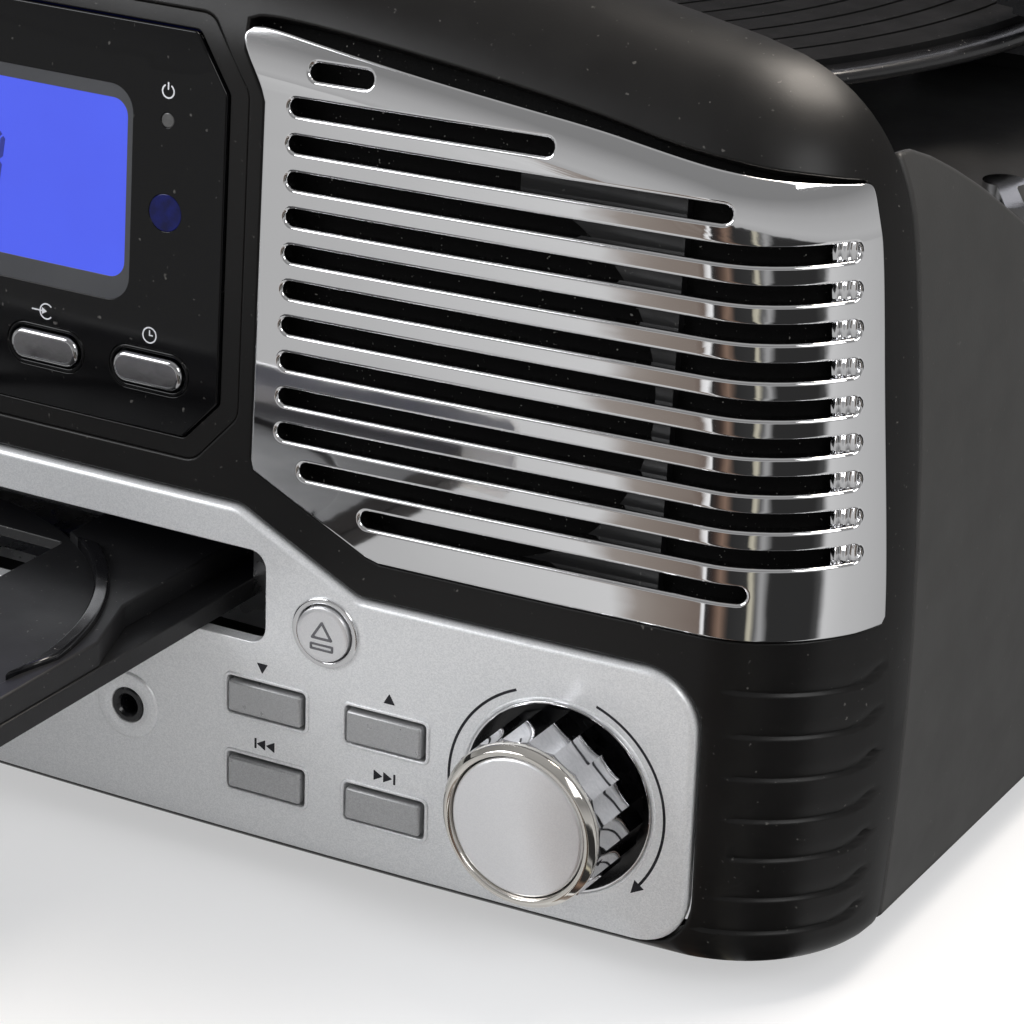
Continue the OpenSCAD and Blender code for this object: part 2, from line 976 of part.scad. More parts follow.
module disc_tray() {
    z1 = tray_z + tray_t;
    color("#1b1b1c")
        difference() {
            union() {
                translate([-tray_w / 2, tray_front + tray_plate, tray_z])
                    cube([tray_w, tray_back - tray_front - tray_plate, tray_low_t]);
                translate([0, 0, tray_z])
                    linear_extrude(height = tray_t)
                        polygon(tray_points());
                translate([0, 0, (slot_z + slot_top) / 2])
                    along_y(tray_front, tray_front + tray_plate)
                        rounded(2 * slot_x - 2 * gap, slot_top - slot_z - 2 * gap, 2.4);
            }
            translate([0, well_y, z1 - 2.6])
                cylinder(r = well_r, h = 10);
            translate([0, well_y, z1 - 3.8])
                cylinder(r = 41, h = 10);
            translate([-32, well_y + 37, tray_z - 5])
                cube([64, 200, 30]);
            translate([0, well_y, tray_z - 5])
                cylinder(r = 18, h = 30);
            translate([-18, well_y, tray_z - 5])
                cube([36, 60, 30]);
        }
}

function tray_points() =
    let (x = tray_w / 2, n = tray_narrow, y0 = tray_front + tray_plate)
    [[-x, y0], [x, y0], [x, -30], [n, -14], [n, tray_back], [-n, tray_back], [-n, -14], [-x, -30]];

module disc_chassis() {
    color("#6d6f71")
        union() {
            for (s = [-1, 1]) {
                translate([s > 0 ? rail_x : -rail_x - 8, chassis_y, tray_z - 4])
                    cube([8, chassis_end - chassis_y, 14]);
                translate([s > 0 ? rail_x - 4 : -rail_x - 1, chassis_y, tray_z - 4])
                    cube([5, chassis_end - chassis_y, 4 - gap]);
                for (y = [chassis_y + 8, chassis_end - 8])
                    translate([s * (rail_x + 4), y, foot_h + wall])
                        cylinder(r = 4, h = tray_z - 4 - foot_h - wall);
            }
            translate([-rail_x - 8, chassis_y, tray_z - 6])
                cube([2 * rail_x + 16, chassis_end - chassis_y, 2]);
            translate([-rail_x - 8, chassis_end - 40, tray_z + 9.9])
                cube([2 * rail_x + 16, 26, 2]);
            translate([0, well_y + tray_travel, tray_z - 4.5])
                cylinder(r = 13, h = 3.5);
        }
}

// ---- cabinet ----

module side_panel(s) {
    color("#4a4948")
        mirror([s < 0 ? 1 : 0, 0, 0])
            intersection() {
                along_y(seam, back_y - gap)
                    side_section();
                translate([0, 0, 0])
                    rotate([90, 0, 90])
                        linear_extrude(height = half_w + 5)
                            polygon([
                                [seam, foot_h], [back_y, foot_h], [back_y, deck_z],
                                [wing_end_y, deck_z], [seam + 6, wing_z], [seam, wing_z + 0.3]
                            ]);
            }
}

// Outside wall, floor edge and the ledge that the deck lies on
module side_section() {
    difference() {
        elevation_sides(0);
        difference() {
            elevation_sides(wall);
            translate([half_w - 13, deck_low - 5])
                square([20, 5]);
        }
        translate([-half_w, -1])
            square([half_w + side_reach, front_h]);
    }
}

// The bulged sides without the arch, for the panels behind the front
module elevation_sides(inset) {
    intersection() {
        side_circles(inset);
        union() {
            translate([-bottom_cx, foot_h + inset])
                square([2 * bottom_cx, front_h]);
            translate([-half_w, bottom_cz])
                square([body_w, front_h]);
            for (s = [-1, 1])
                translate([s * bottom_cx, bottom_cz])
                    circle(r = bottom_r - inset);
        }
        translate([-half_w, foot_h + inset])
            square([body_w, front_h]);
    }
}

module side_panel_right() {
    side_panel(1);
}

module side_panel_left() {
    side_panel(-1);
}

module base_plate() {
    x = side_reach - gap;
    color("#2c2b2b")
        difference() {
            union() {
                translate([-x, seam, foot_h])
                    cube([2 * x, back_y - seam - gap, wall]);
                translate([-x - 9, seam, foot_h + wall])
                    cube([2 * x + 18, 14, 2]);
                translate([-60, seam - 10, foot_h + wall])
                    cube([120, 12, 2]);
                translate([-x - 9, back_y - 14, foot_h + wall])
                    cube([2 * x + 18, 12, 2]);
                for (sx = screw_x)
                    translate([sx - 5, back_y - 9 - gap, foot_h])
                        cube([10, 9, screw_z + 6 - foot_h]);
                for (sx = [-base_screw_x, base_screw_x], y = base_screw_y)
                    translate([sx, y, foot_h])
                        cylinder(r = 3.4, h = 7);
            }
            for (i = [-6 : 6])
                translate([i * 9 - 1.5, 210, foot_h - 1])
                    cube([3, 60, wall + 2]);
            for (sx = screw_x)
                translate([sx, back_y - 12, screw_z])
                    rotate([-90, 0, 0])
                        cylinder(r = 1.44, h = 20);
            for (sx = [-base_screw_x, base_screw_x], y = base_screw_y)
                translate([sx, y, foot_h - 1])
                    cylinder(r = 1.44, h = 20);
        }
}

module feet() {
    color("#1a1a1a")
        for (x = [-1, 1], y = [62, body_d - 40])
            translate([x * (half_w - 30), y, 0])
                difference() {
                    cylinder(r = 11, h = foot_h);
                    translate([0, 0, -1])
                        cylinder(r = 2.2, h = 3);
                }
}

module rear_panel() {
    color("#242424")
        difference() {
            along_y(back_y, body_d)
                intersection() {
                    elevation_sides(gap);
                    translate([-half_w, 0])
                        square([body_w, deck_low - gap]);
                }
            for (x = [-9, 9])
                rear_hole(rca_x + x, rca_z, 5);
            translate([inlet_x - 13, back_y - 5, inlet_z - 10])
                cube([26, 20, 20]);
            for (i = [0 : 9])
                translate([-45 + i * 10, back_y - 5, 60])
                    cube([3, 20, 30]);
            for (x = screw_x)
                rear_hole(x, screw_z, 1.44);
        }
}

module rear_hole(x, z, r) {
    translate([x, back_y - 5, z])
        rotate([-90, 0, 0])
            cylinder(r = r, h = 20);
}

module deck_plate() {
    color("#161617")
        difference() {
            union() {
                intersection() {
                    translate([-half_w, seam, deck_low])
                        cube([body_w, body_d - seam, deck_t]);
                    along_y(seam, body_d)
                        elevation_sides(wall + gap);
                }
                translate([plinth_x, plinth_y, deck_low])
                    cube([plinth_end - plinth_x, back_y - 30 - plinth_y, plinth_t + deck_t]);
                cue_bracket();
            }
            translate([-platter_left, platter_y, deck_low - 1])
                cylinder(r = 9 + fit, h = 20);
            translate([motor_x, motor_y, deck_low - 1])
                cylinder(r = pulley_r + 4, h = 20);
            translate([arm_at_x, arm_at_y, deck_low - 1])
                cylinder(r = 6, h = 20);
            translate([speed_at_x, speed_y, deck_low - 1])
                cylinder(r = 3, h = 20);
        }
}

// ---- record player ----

module platter() {
    color("#1c1c1e")
        translate([-platter_left, platter_y, 0])
            rotate_extrude($fn = 180)
                difference() {
                    union() {
                        translate([0, platter_low])
                            square([platter_at_r - platter_t / 2, platter_t]);
                        translate([platter_at_r - platter_t / 2, platter_low + platter_t / 2])
                            circle(d = platter_t, $fn = 32);
                        translate([drum_r - 3, drum_z])
                            square([3, platter_low - drum_z + 0.5]);
                        translate([0, deck_z + 6])
                            square([12, platter_low - deck_z - 5]);
                    }
                    translate([-1, 0])
                        square([1 + spindle_r + fit, 300]);
                }
}

module platter_mat() {
    color("#202022")
        translate([-platter_left, platter_y, platter_z])
            rotate_extrude($fn = 180)
                difference() {
                    translate([spindle_r + fit, 0])
                        square([mat_r - spindle_r - fit, mat_t]);
                    for (r = [50 : 7.5 : mat_r - 6])
                        translate([r, mat_t - 0.4])
                            square([1, 1]);
                }
}

module centre_pin() {
    color("#c4c6c8")
        translate([-platter_left, platter_y, deck_low - 26])
            union() {
                cylinder(r = pin_r, h = platter_z + mat_t + 10 - deck_low + 26 - pin_r);
                cylinder(r = spindle_r, h = platter_z + mat_t - deck_low + 26);
                translate([0, 0, platter_z + mat_t + 10 - deck_low + 26 - pin_r])
                    sphere(r = pin_r);
            }
}

module pin_bearing() {
    color("#b08d3c")
        translate([-platter_left, platter_y, deck_low - 28])
            difference() {
                union() {
                    cylinder(r = 9, h = 28 + deck_t + 2);
                    translate([0, 0, 24])
                        cylinder(r = 16, h = 4 - gap / 3);
                }
                translate([0, 0, 2 - fit])
                    cylinder(r = spindle_r + fit, h = 60);
            }
}

module platter_motor() {
    color("#9a9c9f")
        translate([motor_x, motor_y, deck_low - 26])
            union() {
                cylinder(r = 14, h = 24);
                translate([-21, -8, 24])
                    cube([42, 16, 2 - 0.01]);
                cylinder(r = 1, h = 34);
            }
}

module motor_pulley() {
    color("#c9a94e")
        translate([motor_x, motor_y, drum_z - 1])
            difference() {
                union() {
                    cylinder(r = pulley_r + 1, h = 1);
                    cylinder(r = pulley_r, h = 8);
                    translate([0, 0, 8])
                        cylinder(r = pulley_r + 1, h = 1);
                }
                translate([0, 0, -1])
                    cylinder(r = 1 + fit, h = 8);
            }
}

module drive_belt() {
    a = motor_a;
    color("#101010")
        translate([-platter_left, platter_y, drum_z + 1.5])
            linear_extrude(height = 4)
                difference() {
                    hull() {
                        circle(r = drum_r + gap + 1);
                        translate([motor_reach * cos(a), motor_reach * sin(a)])
                            circle(r = pulley_r + gap + 1);
                    }
                    hull() {
                        circle(r = drum_r + gap);
                        translate([motor_reach * cos(a), motor_reach * sin(a)])
                            circle(r = pulley_r + gap);
                    }
                }
}

module arm_pillar() {
    color("#2a2a2c")
        translate([arm_at_x, arm_at_y, 0])
            difference() {
                union() {
                    translate([0, 0, plinth_z])
                        cylinder(r = pillar_r, h = 6);
                    translate([0, 0, plinth_z])
                        cylinder(r = 9, h = pillar_top - plinth_z);
                    translate([0, 0, deck_low - 8])
                        cylinder(r = 6 - gap / 3, h = plinth_z - deck_low + 9);
                }
                translate([0, 0, pillar_top - 20])
                    cylinder(r = 3 + fit, h = 40);
            }
}

// Turned about the pivot, with the arm pointing to the front
module at_arm() {
    translate([arm_at_x, arm_at_y, arm_z])
        rotate([0, 0, arm_park])
            children();
}

module arm_yoke() {
    color("#8f9194")
        difference() {
            union() {
                translate([arm_at_x, arm_at_y, pillar_top - 19])
                    cylinder(r = 3, h = 21);
                translate([arm_at_x, arm_at_y, pillar_top + gap])
                    cylinder(r = 10, h = 3);
                at_arm()
                    for (s = [-1, 1])
                        translate([s * 7.5 - 1.5, -6, pillar_top + gap + 2 - arm_z])
                            cube([3, 12, arm_z - pillar_top + 4]);
            }
            at_arm()
                translate([-20, 0, 0])
                    rotate([0, 90, 0])
                        cylinder(r = 1.2 + fit, h = 40, $fn = 32);
        }
}

module arm_tube() {
    color("#c6c8ca")
        at_arm()
            union() {
                translate([0, 15, 0])
                    rotate([90, 0, 0])
                        cylinder(r = tube_r, h = arm_len - head_len + 15);
                translate([-8.6, 0, 0])
                    rotate([0, 90, 0])
                        cylinder(r = 1.2, h = 17.2, $fn = 32);
                rotate([0, 90, 0])
                    translate([0, 0, -5])
                        cylinder(r = 5, h = 10);
                translate([0, head_len - arm_len + 2, 0])
                    rotate([0, 0, -18])
                        union() {
                            translate([-8.5, -head_len, -2.4])
                                cube([17, head_len, 2.4]);
                            translate([8, -head_len + 6, -2])
                                cube([9, 3, 1]);
                        }
            }
}

module pickup_cartridge() {
    color("#7c1f1d")
        at_arm()
            translate([0, head_len - arm_len + 2, 0])
                rotate([0, 0, -18])
                    union() {
                        translate([-6.5, -head_len + 3, -8.4])
                            cube([13, 20, 6]);
                        translate([-2.5, -head_len + 3, -9.6])
                            cube([5, 8, 1.2]);
                    }
}

module counterweight() {
    color("#55575a")
        at_arm()
            translate([0, 20, 0])
                rotate([90, 0, 0])
                    difference() {
                        cylinder(r = 7.5, h = 12);
                        translate([0, 0, 4])
                            cylinder(r = tube_r + fit, h = 30);
                    }
}

module arm_rest() {
    x = arm_at_x + (arm_at_y - rest_at_y) * tan(arm_park);
    color("#1b1b1c")
        union() {
            translate([x - 3, rest_at_y - 4, deck_z])
                cube([6, 8, arm_z - deck_z - tube_r - 4]);
            translate([x - 6, rest_at_y - 4, arm_z - tube_r - 5.4])
                cube([12, 8, 3]);
        }
}

module cue_lever() {
    color("#bfc1c3")
        translate([cue_x + gap / 3, cue_at_y, cue_z])
            difference() {
                union() {
                    rotate([0, 90, 0])
                        cylinder(r = 3.2, h = 3.6);
                    rotate([55, 0, 0])
                        translate([0, -1.2, 0])
                            cube([3.6, 2.4, 17]);
                }
                translate([-1, 0, 0])
                    rotate([0, 90, 0])
                        cylinder(r = 1.5 + fit, h = 10);
            }
}

// Block and pin on the deck that carry the lift lever
module cue_bracket() {
    translate([cue_x - 6, cue_at_y - 4, deck_z])
        cube([6, 8, cue_z + 4 - deck_z]);
    translate([cue_x - 3, cue_at_y, cue_z])
        rotate([0, 90, 0])
            cylinder(r = 1.5, h = 7.4);
}

module speed_lever() {
    color("#c4c6c8")
        translate([speed_at_x, speed_y, deck_z])
            union() {
                translate([0, 0, -7])
                    cylinder(r = 3 - fit, h = 8);
                translate([0, 0, gap / 3])
                    cylinder(r = 4, h = 3);
                rotate([0, 0, -speed_turn])
                    translate([0, -speed_w / 2, gap / 3])
                        cube([speed_len, speed_w, 3]);
            }
}

// ---- dust cover ----

module cover_turned() {
    translate([0, hinge_y, hinge_z])
        rotate([-cover_open, 0, 0])
            translate([0, -hinge_y, -hinge_z])
                children();
}

module dust_cover() {
    color([0.25, 0.25, 0.28, 0.45])
        cover_turned()
            difference() {
                union() {
                    cover_block(0);
                    for (s = [-1, 1])
                        translate([s * hinge_x - hinge_w / 2 + 8, hinge_y, hinge_z]) {
                            rotate([0, 90, 0])
                                cylinder(r = 4, h = hinge_w - 16);
                            translate([0, -5 - cover_t / 2, -4])
                                cube([hinge_w - 16, 5 + cover_t / 2, 8]);
                        }
                }
                cover_block(cover_t);
                for (s = [-1, 1])
                    translate([s * hinge_x - 30, hinge_y, hinge_z])
                        rotate([0, 90, 0])
                            cylinder(r = 1.5 + fit, h = 60);
            }
}

module cover_block(inset) {
    y0 = cover_front + inset;
    y1 = hinge_y - 5 - inset;
    z0 = inset > 0 ? cover_seat - 5 : cover_seat;
    z1 = cover_seat + cover_h - inset;
    translate([cover_half - inset, 0, 0])
        rotate([90, 0, -90])
            mirror([1, 0, 0])
                linear_extrude(height = 2 * (cover_half - inset))
                    polygon([[y0, z0], [y1, z0], [y1, z1], [y0 + 14, z1], [y0, z1 - 16]]);
}

module cover_hinges() {
    color("#1a1a1b")
        for (s = [-1, 1])
            translate([s * hinge_x, hinge_y, hinge_z])
                union() {
                    for (e = [-1, 1])
                        translate([e * (hinge_w / 2 - 3.7) - 3.7, 0, 0]) {
                            rotate([0, 90, 0])
                                cylinder(r = 4, h = 7.4);
                            translate([0, -4, deck_z - hinge_z])
                                cube([7.4, 8, hinge_z - deck_z]);
                        }
                    translate([-hinge_w / 2, 0, 0])
                        rotate([0, 90, 0])
                            cylinder(r = 1.5, h = hinge_w);
                }
}

// ---- inside and back ----

module main_board() {
    color("#1f5a34")
        union() {
            translate([board_x, board_y, foot_h + wall + 6])
                cube([board_w, board_w, board_t]);
            for (x = [6, board_w - 6], y = [6, board_w - 6])
                translate([board_x + x, board_y + y, foot_h + wall])
                    cylinder(r = 3, h = 6);
            translate([board_x + 30, board_y + 40, foot_h + wall + 6])
                cube([24, 24, 4]);
            for (i = [0 : 2])
                translate([board_x + 90, board_y + 30 + i * 26, foot_h + wall + 6])
                    cylinder(r = 6, h = 18);
        }
}

module transformer() {
    color("#8b8478")
        translate([half_w - 114, back_y - 119.5, foot_h + wall])
            union() {
                cube([56, 46, 2]);
                translate([6, 3, 2])
                    cube([44, 40, 36]);
                translate([12, -4, 8])
                    cube([32, 54, 24]);
            }
}

module rear_sockets() {
    color("#d9d9d9")
        for (x = [-9, 9])
            translate([rca_x + x, back_y - 8, rca_z])
                rotate([-90, 0, 0])
                    difference() {
                        union() {
                            cylinder(r = 4.6, h = 16);
                            translate([0, 0, 0])
                                cylinder(r = 7, h = 8 - gap);
                        }
                        translate([0, 0, 6])
                            cylinder(r = 1.7, h = 20);
                    }
}

module power_inlet() {
    color("#151515")
        translate([inlet_x, back_y, inlet_z])
            difference() {
                union() {
                    translate([-12.7, -16, -9.7])
                        cube([25.4, 17 + wall, 19.4]);
                    translate([-15, wall, -12])
                        cube([30, 2, 24]);
                }
                translate([-9, -10, -6])
                    cube([18, 30, 12]);
            }
}

module screws() {
    color("#77797c") {
        for (x = screw_x)
            translate([x, body_d, screw_z])
                rotate([-90, 0, 0])
                    screw_head();
        for (x = [-1, 1], y = base_screw_y)
            translate([x * base_screw_x, y, foot_h])
                rotate([180, 0, 0])
                    screw_head();
    }
}

module screw_head() {
    difference() {
        union() {
            cylinder(r = 3, h = 1.6);
            translate([0, 0, -6])
                cylinder(r = 1.4, h = 6.5);
        }
        translate([-2, -0.4, 0.8])
            cube([4, 0.8, 2]);
        translate([-0.4, -2, 0.8])
            cube([0.8, 4, 2]);
    }
}

fascia();
lower_panel();
display_window();
lcd_module();
grille_right();
grille_left();
speaker_baffles();
speaker_frames();
speaker_cones();
side_panel_right();
side_panel_left();
base_plate();
feet();
rear_panel();
deck_plate();
platter();
platter_mat();
centre_pin();
pin_bearing();
platter_motor();
motor_pulley();
drive_belt();
arm_pillar();
arm_yoke();
arm_tube();
pickup_cartridge();
counterweight();
arm_rest();
cue_lever();
speed_lever();
dust_cover();
cover_hinges();
tuning_knob();
tuning_skirt();
volume_knob();
volume_skirt();
rotary_encoders();
key_preset_down();
key_preset_up();
key_skip_back();
key_skip_forward();
key_play();
key_stop();
key_program();
key_repeat();
eject_button();
pill_source();
pill_timer();
pill_clock();
pill_tone();
button_bezels();
line_jack();
usb_socket();
disc_tray();
disc_chassis();
main_board();
transformer();
rear_sockets();
power_inlet();
screws();
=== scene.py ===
import bpy, bmesh, json, math
import numpy as np
from mathutils import Vector, Matrix


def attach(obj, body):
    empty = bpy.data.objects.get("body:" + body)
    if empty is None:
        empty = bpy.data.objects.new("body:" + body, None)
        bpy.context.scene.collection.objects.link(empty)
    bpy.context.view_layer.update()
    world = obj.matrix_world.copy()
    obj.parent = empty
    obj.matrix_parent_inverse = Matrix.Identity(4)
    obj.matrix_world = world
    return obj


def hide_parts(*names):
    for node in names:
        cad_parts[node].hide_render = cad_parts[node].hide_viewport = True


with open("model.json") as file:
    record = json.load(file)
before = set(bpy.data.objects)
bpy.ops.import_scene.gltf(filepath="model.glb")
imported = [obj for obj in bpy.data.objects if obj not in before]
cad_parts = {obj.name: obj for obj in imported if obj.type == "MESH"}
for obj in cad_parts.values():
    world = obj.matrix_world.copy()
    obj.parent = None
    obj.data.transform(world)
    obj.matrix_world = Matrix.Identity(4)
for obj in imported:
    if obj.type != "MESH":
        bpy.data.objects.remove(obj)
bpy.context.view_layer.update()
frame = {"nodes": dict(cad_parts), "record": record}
nodes = frame["nodes"]
scene = bpy.context.scene
print("frame loaded:", len(nodes), "nodes")

# the outer form of the front moulding, in mm
form = dict(
    bow=2080.0,                      # radius of the front's bow, seen from above
    leanFrom=63.0, leanSoft=3.0,     # height where the front starts to lean back, and how softly
    lean=3.3,                        # degrees
    side=184.0, sideR=600.0, sideZ=58.0,
    top=174.0, topR=850.0,
    corner=26.0,                     # plan radius of the front corners and of the top roll
    cornerX=158.0,
    shoulder=2.7,                    # how square the upper outer corners are
    low=6.0,                         # height of the lower edge and its radius
    seamY=33.0,                      # where the moulding meets deck and sides
    reach=60.0,                      # the shell lies within this of its inner line
)
quarter = math.pi / 2


# the shell as a field, and the flat drawing laid on it
def leanAt(z):
    a = z - form["leanFrom"]
    return 0.5 * (a + np.sqrt(a * a + form["leanSoft"] ** 2)) * math.tan(math.radians(form["lean"]))


def bowAt(x):
    return form["bow"] - np.sqrt(form["bow"] ** 2 - x * x)


def archDrop(x):
    return form["topR"] - np.sqrt(form["topR"] ** 2 - x * x)


def joined(a, b, r):
    # two depths meeting in a round of radius r
    soft = r - np.sqrt(np.maximum(r - a, 0) ** 2 + np.maximum(r - b, 0) ** 2)
    return np.where((a < r) & (b < r), soft, np.minimum(a, b))


def depthIn(p):
    # how far a point lies inside the shell, mm
    x, y, z = p[:, 0], p[:, 1], p[:, 2]
    r, n = form["corner"], form["shoulder"]
    front = y - bowAt(x) - leanAt(z)
    flank = form["side"] - form["sideR"] + np.sqrt(form["sideR"] ** 2 - (z - form["sideZ"]) ** 2) - np.abs(x)
    roof = form["top"] - archDrop(x) - z
    a, b = np.maximum(r - flank, 0), np.maximum(r - roof, 0)
    soft = r - (a ** n + b ** n + 1e-12) ** (1 / n)
    rim = np.where((a > 0) & (b > 0), soft, np.minimum(flank, roof))
    return joined(joined(front, rim, r), z - form["low"], form["low"])


def lastInside(lo, hi, times, placeAt):
    # how far one can go and still be inside the shell, by halving
    for i in range(times):
        mid = (lo + hi) / 2
        inside = depthIn(placeAt(mid)) > 0
        lo, hi = np.where(inside, mid, lo), np.where(inside, hi, mid)
    return lo


def onShell(u, v):
    # u runs across the front and round the corners, v up the front and over the roll
    r, cx = form["corner"], form["cornerX"]
    au, sg = np.abs(u), np.sign(u)
    x = np.minimum(au, cx)
    phi = np.clip((au - cx) / r, 0, quarter)
    back = np.maximum(au - cx - r * quarter, 0)
    zTop = form["top"] - r - archDrop(x)
    foot = 2 * form["low"]
    over = np.clip((v - zTop) / r, 0, quarter)
    under = -np.clip((foot - v) / form["low"], 0, quarter)
    theta = np.where(v > zTop, over, np.where(v < foot, under, 0))
    back = back + np.maximum(v - zTop - r * quarter, 0) + np.maximum(foot - v - form["low"] * quarter, 0)
    z = np.clip(v, foot, zTop)
    start = np.stack([x * sg, bowAt(x) + r + leanAt(z) + back, z], 1)
    flat = np.stack([np.sin(phi) * sg, -np.cos(phi), 0 * phi], 1)
    way = flat * np.cos(theta)[:, None]
    way[:, 2] = np.sin(theta)
    start = start + np.where((v < foot)[:, None], flat * (r - form["low"]), 0)
    far = lastInside(np.zeros(len(u)), np.full(len(u), form["reach"]), 30, lambda d: start + way * d[:, None])
    return start + way * far[:, None]


def shellNormal(p, step=0.05):
    g = np.zeros_like(p)
    for i in range(3):
        d = np.zeros(3)
        d[i] = step
        g[:, i] = depthIn(p - d) - depthIn(p + d)
    return g / np.linalg.norm(g, axis=1)[:, None]


def unit(a):
    return a / np.maximum(np.linalg.norm(a, axis=1), 1e-9)[:, None]


def shellFrame(u, v, step=0.2):
    # place, and the three directions there: along u, along v, out
    p = onShell(u, v)
    n = shellNormal(p)
    tu = onShell(u + step, v) - onShell(u - step, v)
    tu = unit(tu - n * (tu * n).sum(1)[:, None])
    return p, tu, np.cross(n, tu), n


def faceOn(x, z, lift=0.0):
    # a local frame on the front for small parts: place, across, up, out
    p, a, b, n = (q[0] for q in shellFrame(np.array([float(x)]), np.array([float(z)])))
    return p + n * lift, a, b, n


# outlines in the flat drawing
def onCircle(cx, cy, r, turns):
    return [(cx + r * math.cos(t), cy + r * math.sin(t)) for t in turns]


def arcPoints(cx, cy, r, a0, a1, n):
    return onCircle(cx, cy, r, [math.radians(a0 + (a1 - a0) * i / n) for i in range(n + 1)])


def ring(cx, cy, r, n=48):
    return onCircle(cx, cy, r, [2 * math.pi * i / n for i in range(n)])


def arcBand(cx, cy, r, wide, a0, a1, n=30):
    return arcPoints(cx, cy, r + wide / 2, a0, a1, n) + arcPoints(cx, cy, r - wide / 2, a1, a0, n)


def roundedCorner(before, corner, after, r, n, share, slack, even=False):
    # one corner as an arc that takes at most a share of each side; slack is the turn too slight to round;
    # n is the steps for a quarter turn, or for any turn where they are even
    p = np.array(corner, float)
    a, b = np.array(before, float) - p, np.array(after, float) - p
    la, lb = np.linalg.norm(a), np.linalg.norm(b)
    a, b = a / la, b / lb
    angle = math.acos(max(-1, min(1, float(a @ b))))
    if r <= 0 or angle > math.pi - slack:
        return [tuple(p)]
    t = min(r / math.tan(angle / 2), share * la, share * lb)
    rr = t * math.tan(angle / 2)
    c = p + (a + b) / np.linalg.norm(a + b) * (rr / math.sin(angle / 2))
    s, e = p + a * t, p + b * t
    a0, a1 = math.atan2(*(s - c)[::-1]), math.atan2(*(e - c)[::-1])
    d = (a1 - a0 + math.pi) % (2 * math.pi) - math.pi
    steps = n if even else max(2, int(n * abs(d) / quarter + 0.5))
    return onCircle(c[0], c[1], rr, [a0 + d * k / steps for k in range(steps + 1)])


def softCorners(points, radius, n=6):
    # a closed outline with each corner rounded; radius is one number or one for each corner
    out = []
    for i in range(len(points)):
        r = radius[i] if isinstance(radius, list) else radius
        out += roundedCorner(points[i - 1], points[i], points[(i + 1) % len(points)], r, n, 0.49, 0.02)
    return out


def fillet(points, radius, n=4):
    # an open profile with rounded corners, its ends kept
    out = [points[0]]
    for i in range(1, len(points) - 1):
        out += roundedCorner(points[i - 1], points[i], points[i + 1], radius[i], n, 0.45, 0.05, True)
    return out + [points[-1]]


def roundBox(w, h, r, cx=0.0, cy=0.0, n=6):
    x, y = w / 2, h / 2
    return softCorners([(cx - x, cy - y), (cx + x, cy - y), (cx + x, cy + y), (cx - x, cy + y)], r, n)


def smoothLine(points):
    # rounds an open line by cutting its corners twice, ends kept
    for k in range(2):
        out = [points[0]]
        for (ax, ay), (bx, by) in zip(points, points[1:]):
            out += [(ax * s + bx * t, ay * s + by * t) for s, t in ((0.75, 0.25), (0.25, 0.75))]
        points = out + [points[-1]]
    return points


def flip(points):
    return [(-x, y) for x, y in reversed(points)]


def bothHalves(right):
    # a whole outline from its right half, drawn upwards
    left = flip(right)
    return left[-1:] + right + left[:-1]


def loopOut(p):
    # outward directions of a loop that runs anticlockwise, and how far a mitre stretches them
    a = unit(p - np.roll(p, 1, 0))
    b = unit(np.roll(p, -1, 0) - p)
    na, nb = np.stack([a[:, 1], -a[:, 0]], 1), np.stack([b[:, 1], -b[:, 0]], 1)
    m = unit(na + nb)
    return m, 1 / np.maximum((m * nb).sum(1), 0.5)


def grow(points, by):
    p = np.array(points, float)
    m, s = loopOut(p)
    return [tuple(q) for q in p + m * (by * s)[:, None]]


# plates: flat sheets with rounded edges and holes
def flatPlate(outer, holes=(), thick=2.0, lip=0.4, holeLip=None, steps=3):
    # the edges are made ring by ring, so that each point carries the true normal of the edge
    bm = bmesh.new()
    nrm = bm.verts.layers.float_vector.new("nrm")
    tops = []
    for k, loop in enumerate([outer] + list(holes)):
        p = np.array(loop, float)
        after = np.roll(p, -1, 0)
        if (after[:, 0] * p[:, 1] - p[:, 0] * after[:, 1]).sum() > 0:
            p = p[::-1]
        m, s = loopOut(p)
        side = 1.0 if k == 0 else -1.0
        e = lip if k == 0 or holeLip is None else holeLip
        turns = [quarter * i / steps for i in range(1, steps + 1)]
        levels = [(0.0, -thick, 0.0), (0.0, -e, 0.0)]
        levels += [(e * (1 - math.cos(t)), -e * (1 - math.sin(t)), t) for t in turns]
        last = None
        for inset, w, t in levels:
            row = []
            for (x, y), way in zip(p - m * (side * inset * s)[:, None], m):
                vert = bm.verts.new((x, y, w))
                vert[nrm] = (side * way[0] * math.cos(t), side * way[1] * math.cos(t), math.sin(t))
                row.append(vert)
            if last:
                for i in range(len(row)):
                    j = (i + 1) % len(row)
                    quad = (last[i], last[j], row[j], row[i])
                    bm.faces.new(quad if k == 0 else quad[::-1])
            last = row
        tops.append(last)
    edges = [bm.edges.get((r[i], r[(i + 1) % len(r)])) for r in tops for i in range(len(r))]
    made = bmesh.ops.triangle_fill(bm, edges=edges, use_beauty=True, normal=(0, 0, 1))
    for f in made["geom"]:
        if isinstance(f, bmesh.types.BMFace):
            f.normal_update()
            if f.normal.z < 0:
                f.normal_flip()
    return bm


def cutAt(bm, axis, value, faces=None, **more):
    # cuts along the plane where one coordinate has this value, through all faces or the given ones
    if faces is None:
        geom = list(bm.verts) + list(bm.edges) + list(bm.faces)
    else:
        edges, verts = (e for f in faces for e in f.edges), (v for f in faces for v in f.verts)
        geom = faces + list(dict.fromkeys(edges)) + list(dict.fromkeys(verts))
    spot, way = [0, 0, 0], [0, 0, 0]
    spot[axis], way[axis] = value, 1
    bmesh.ops.bisect_plane(bm, geom=geom, dist=1e-4, plane_co=spot, plane_no=way, **more)


def sliceBy(bm, us=(), vs=()):
    for axis, values in enumerate((us, vs)):
        for value in values:
            cutAt(bm, axis, value)


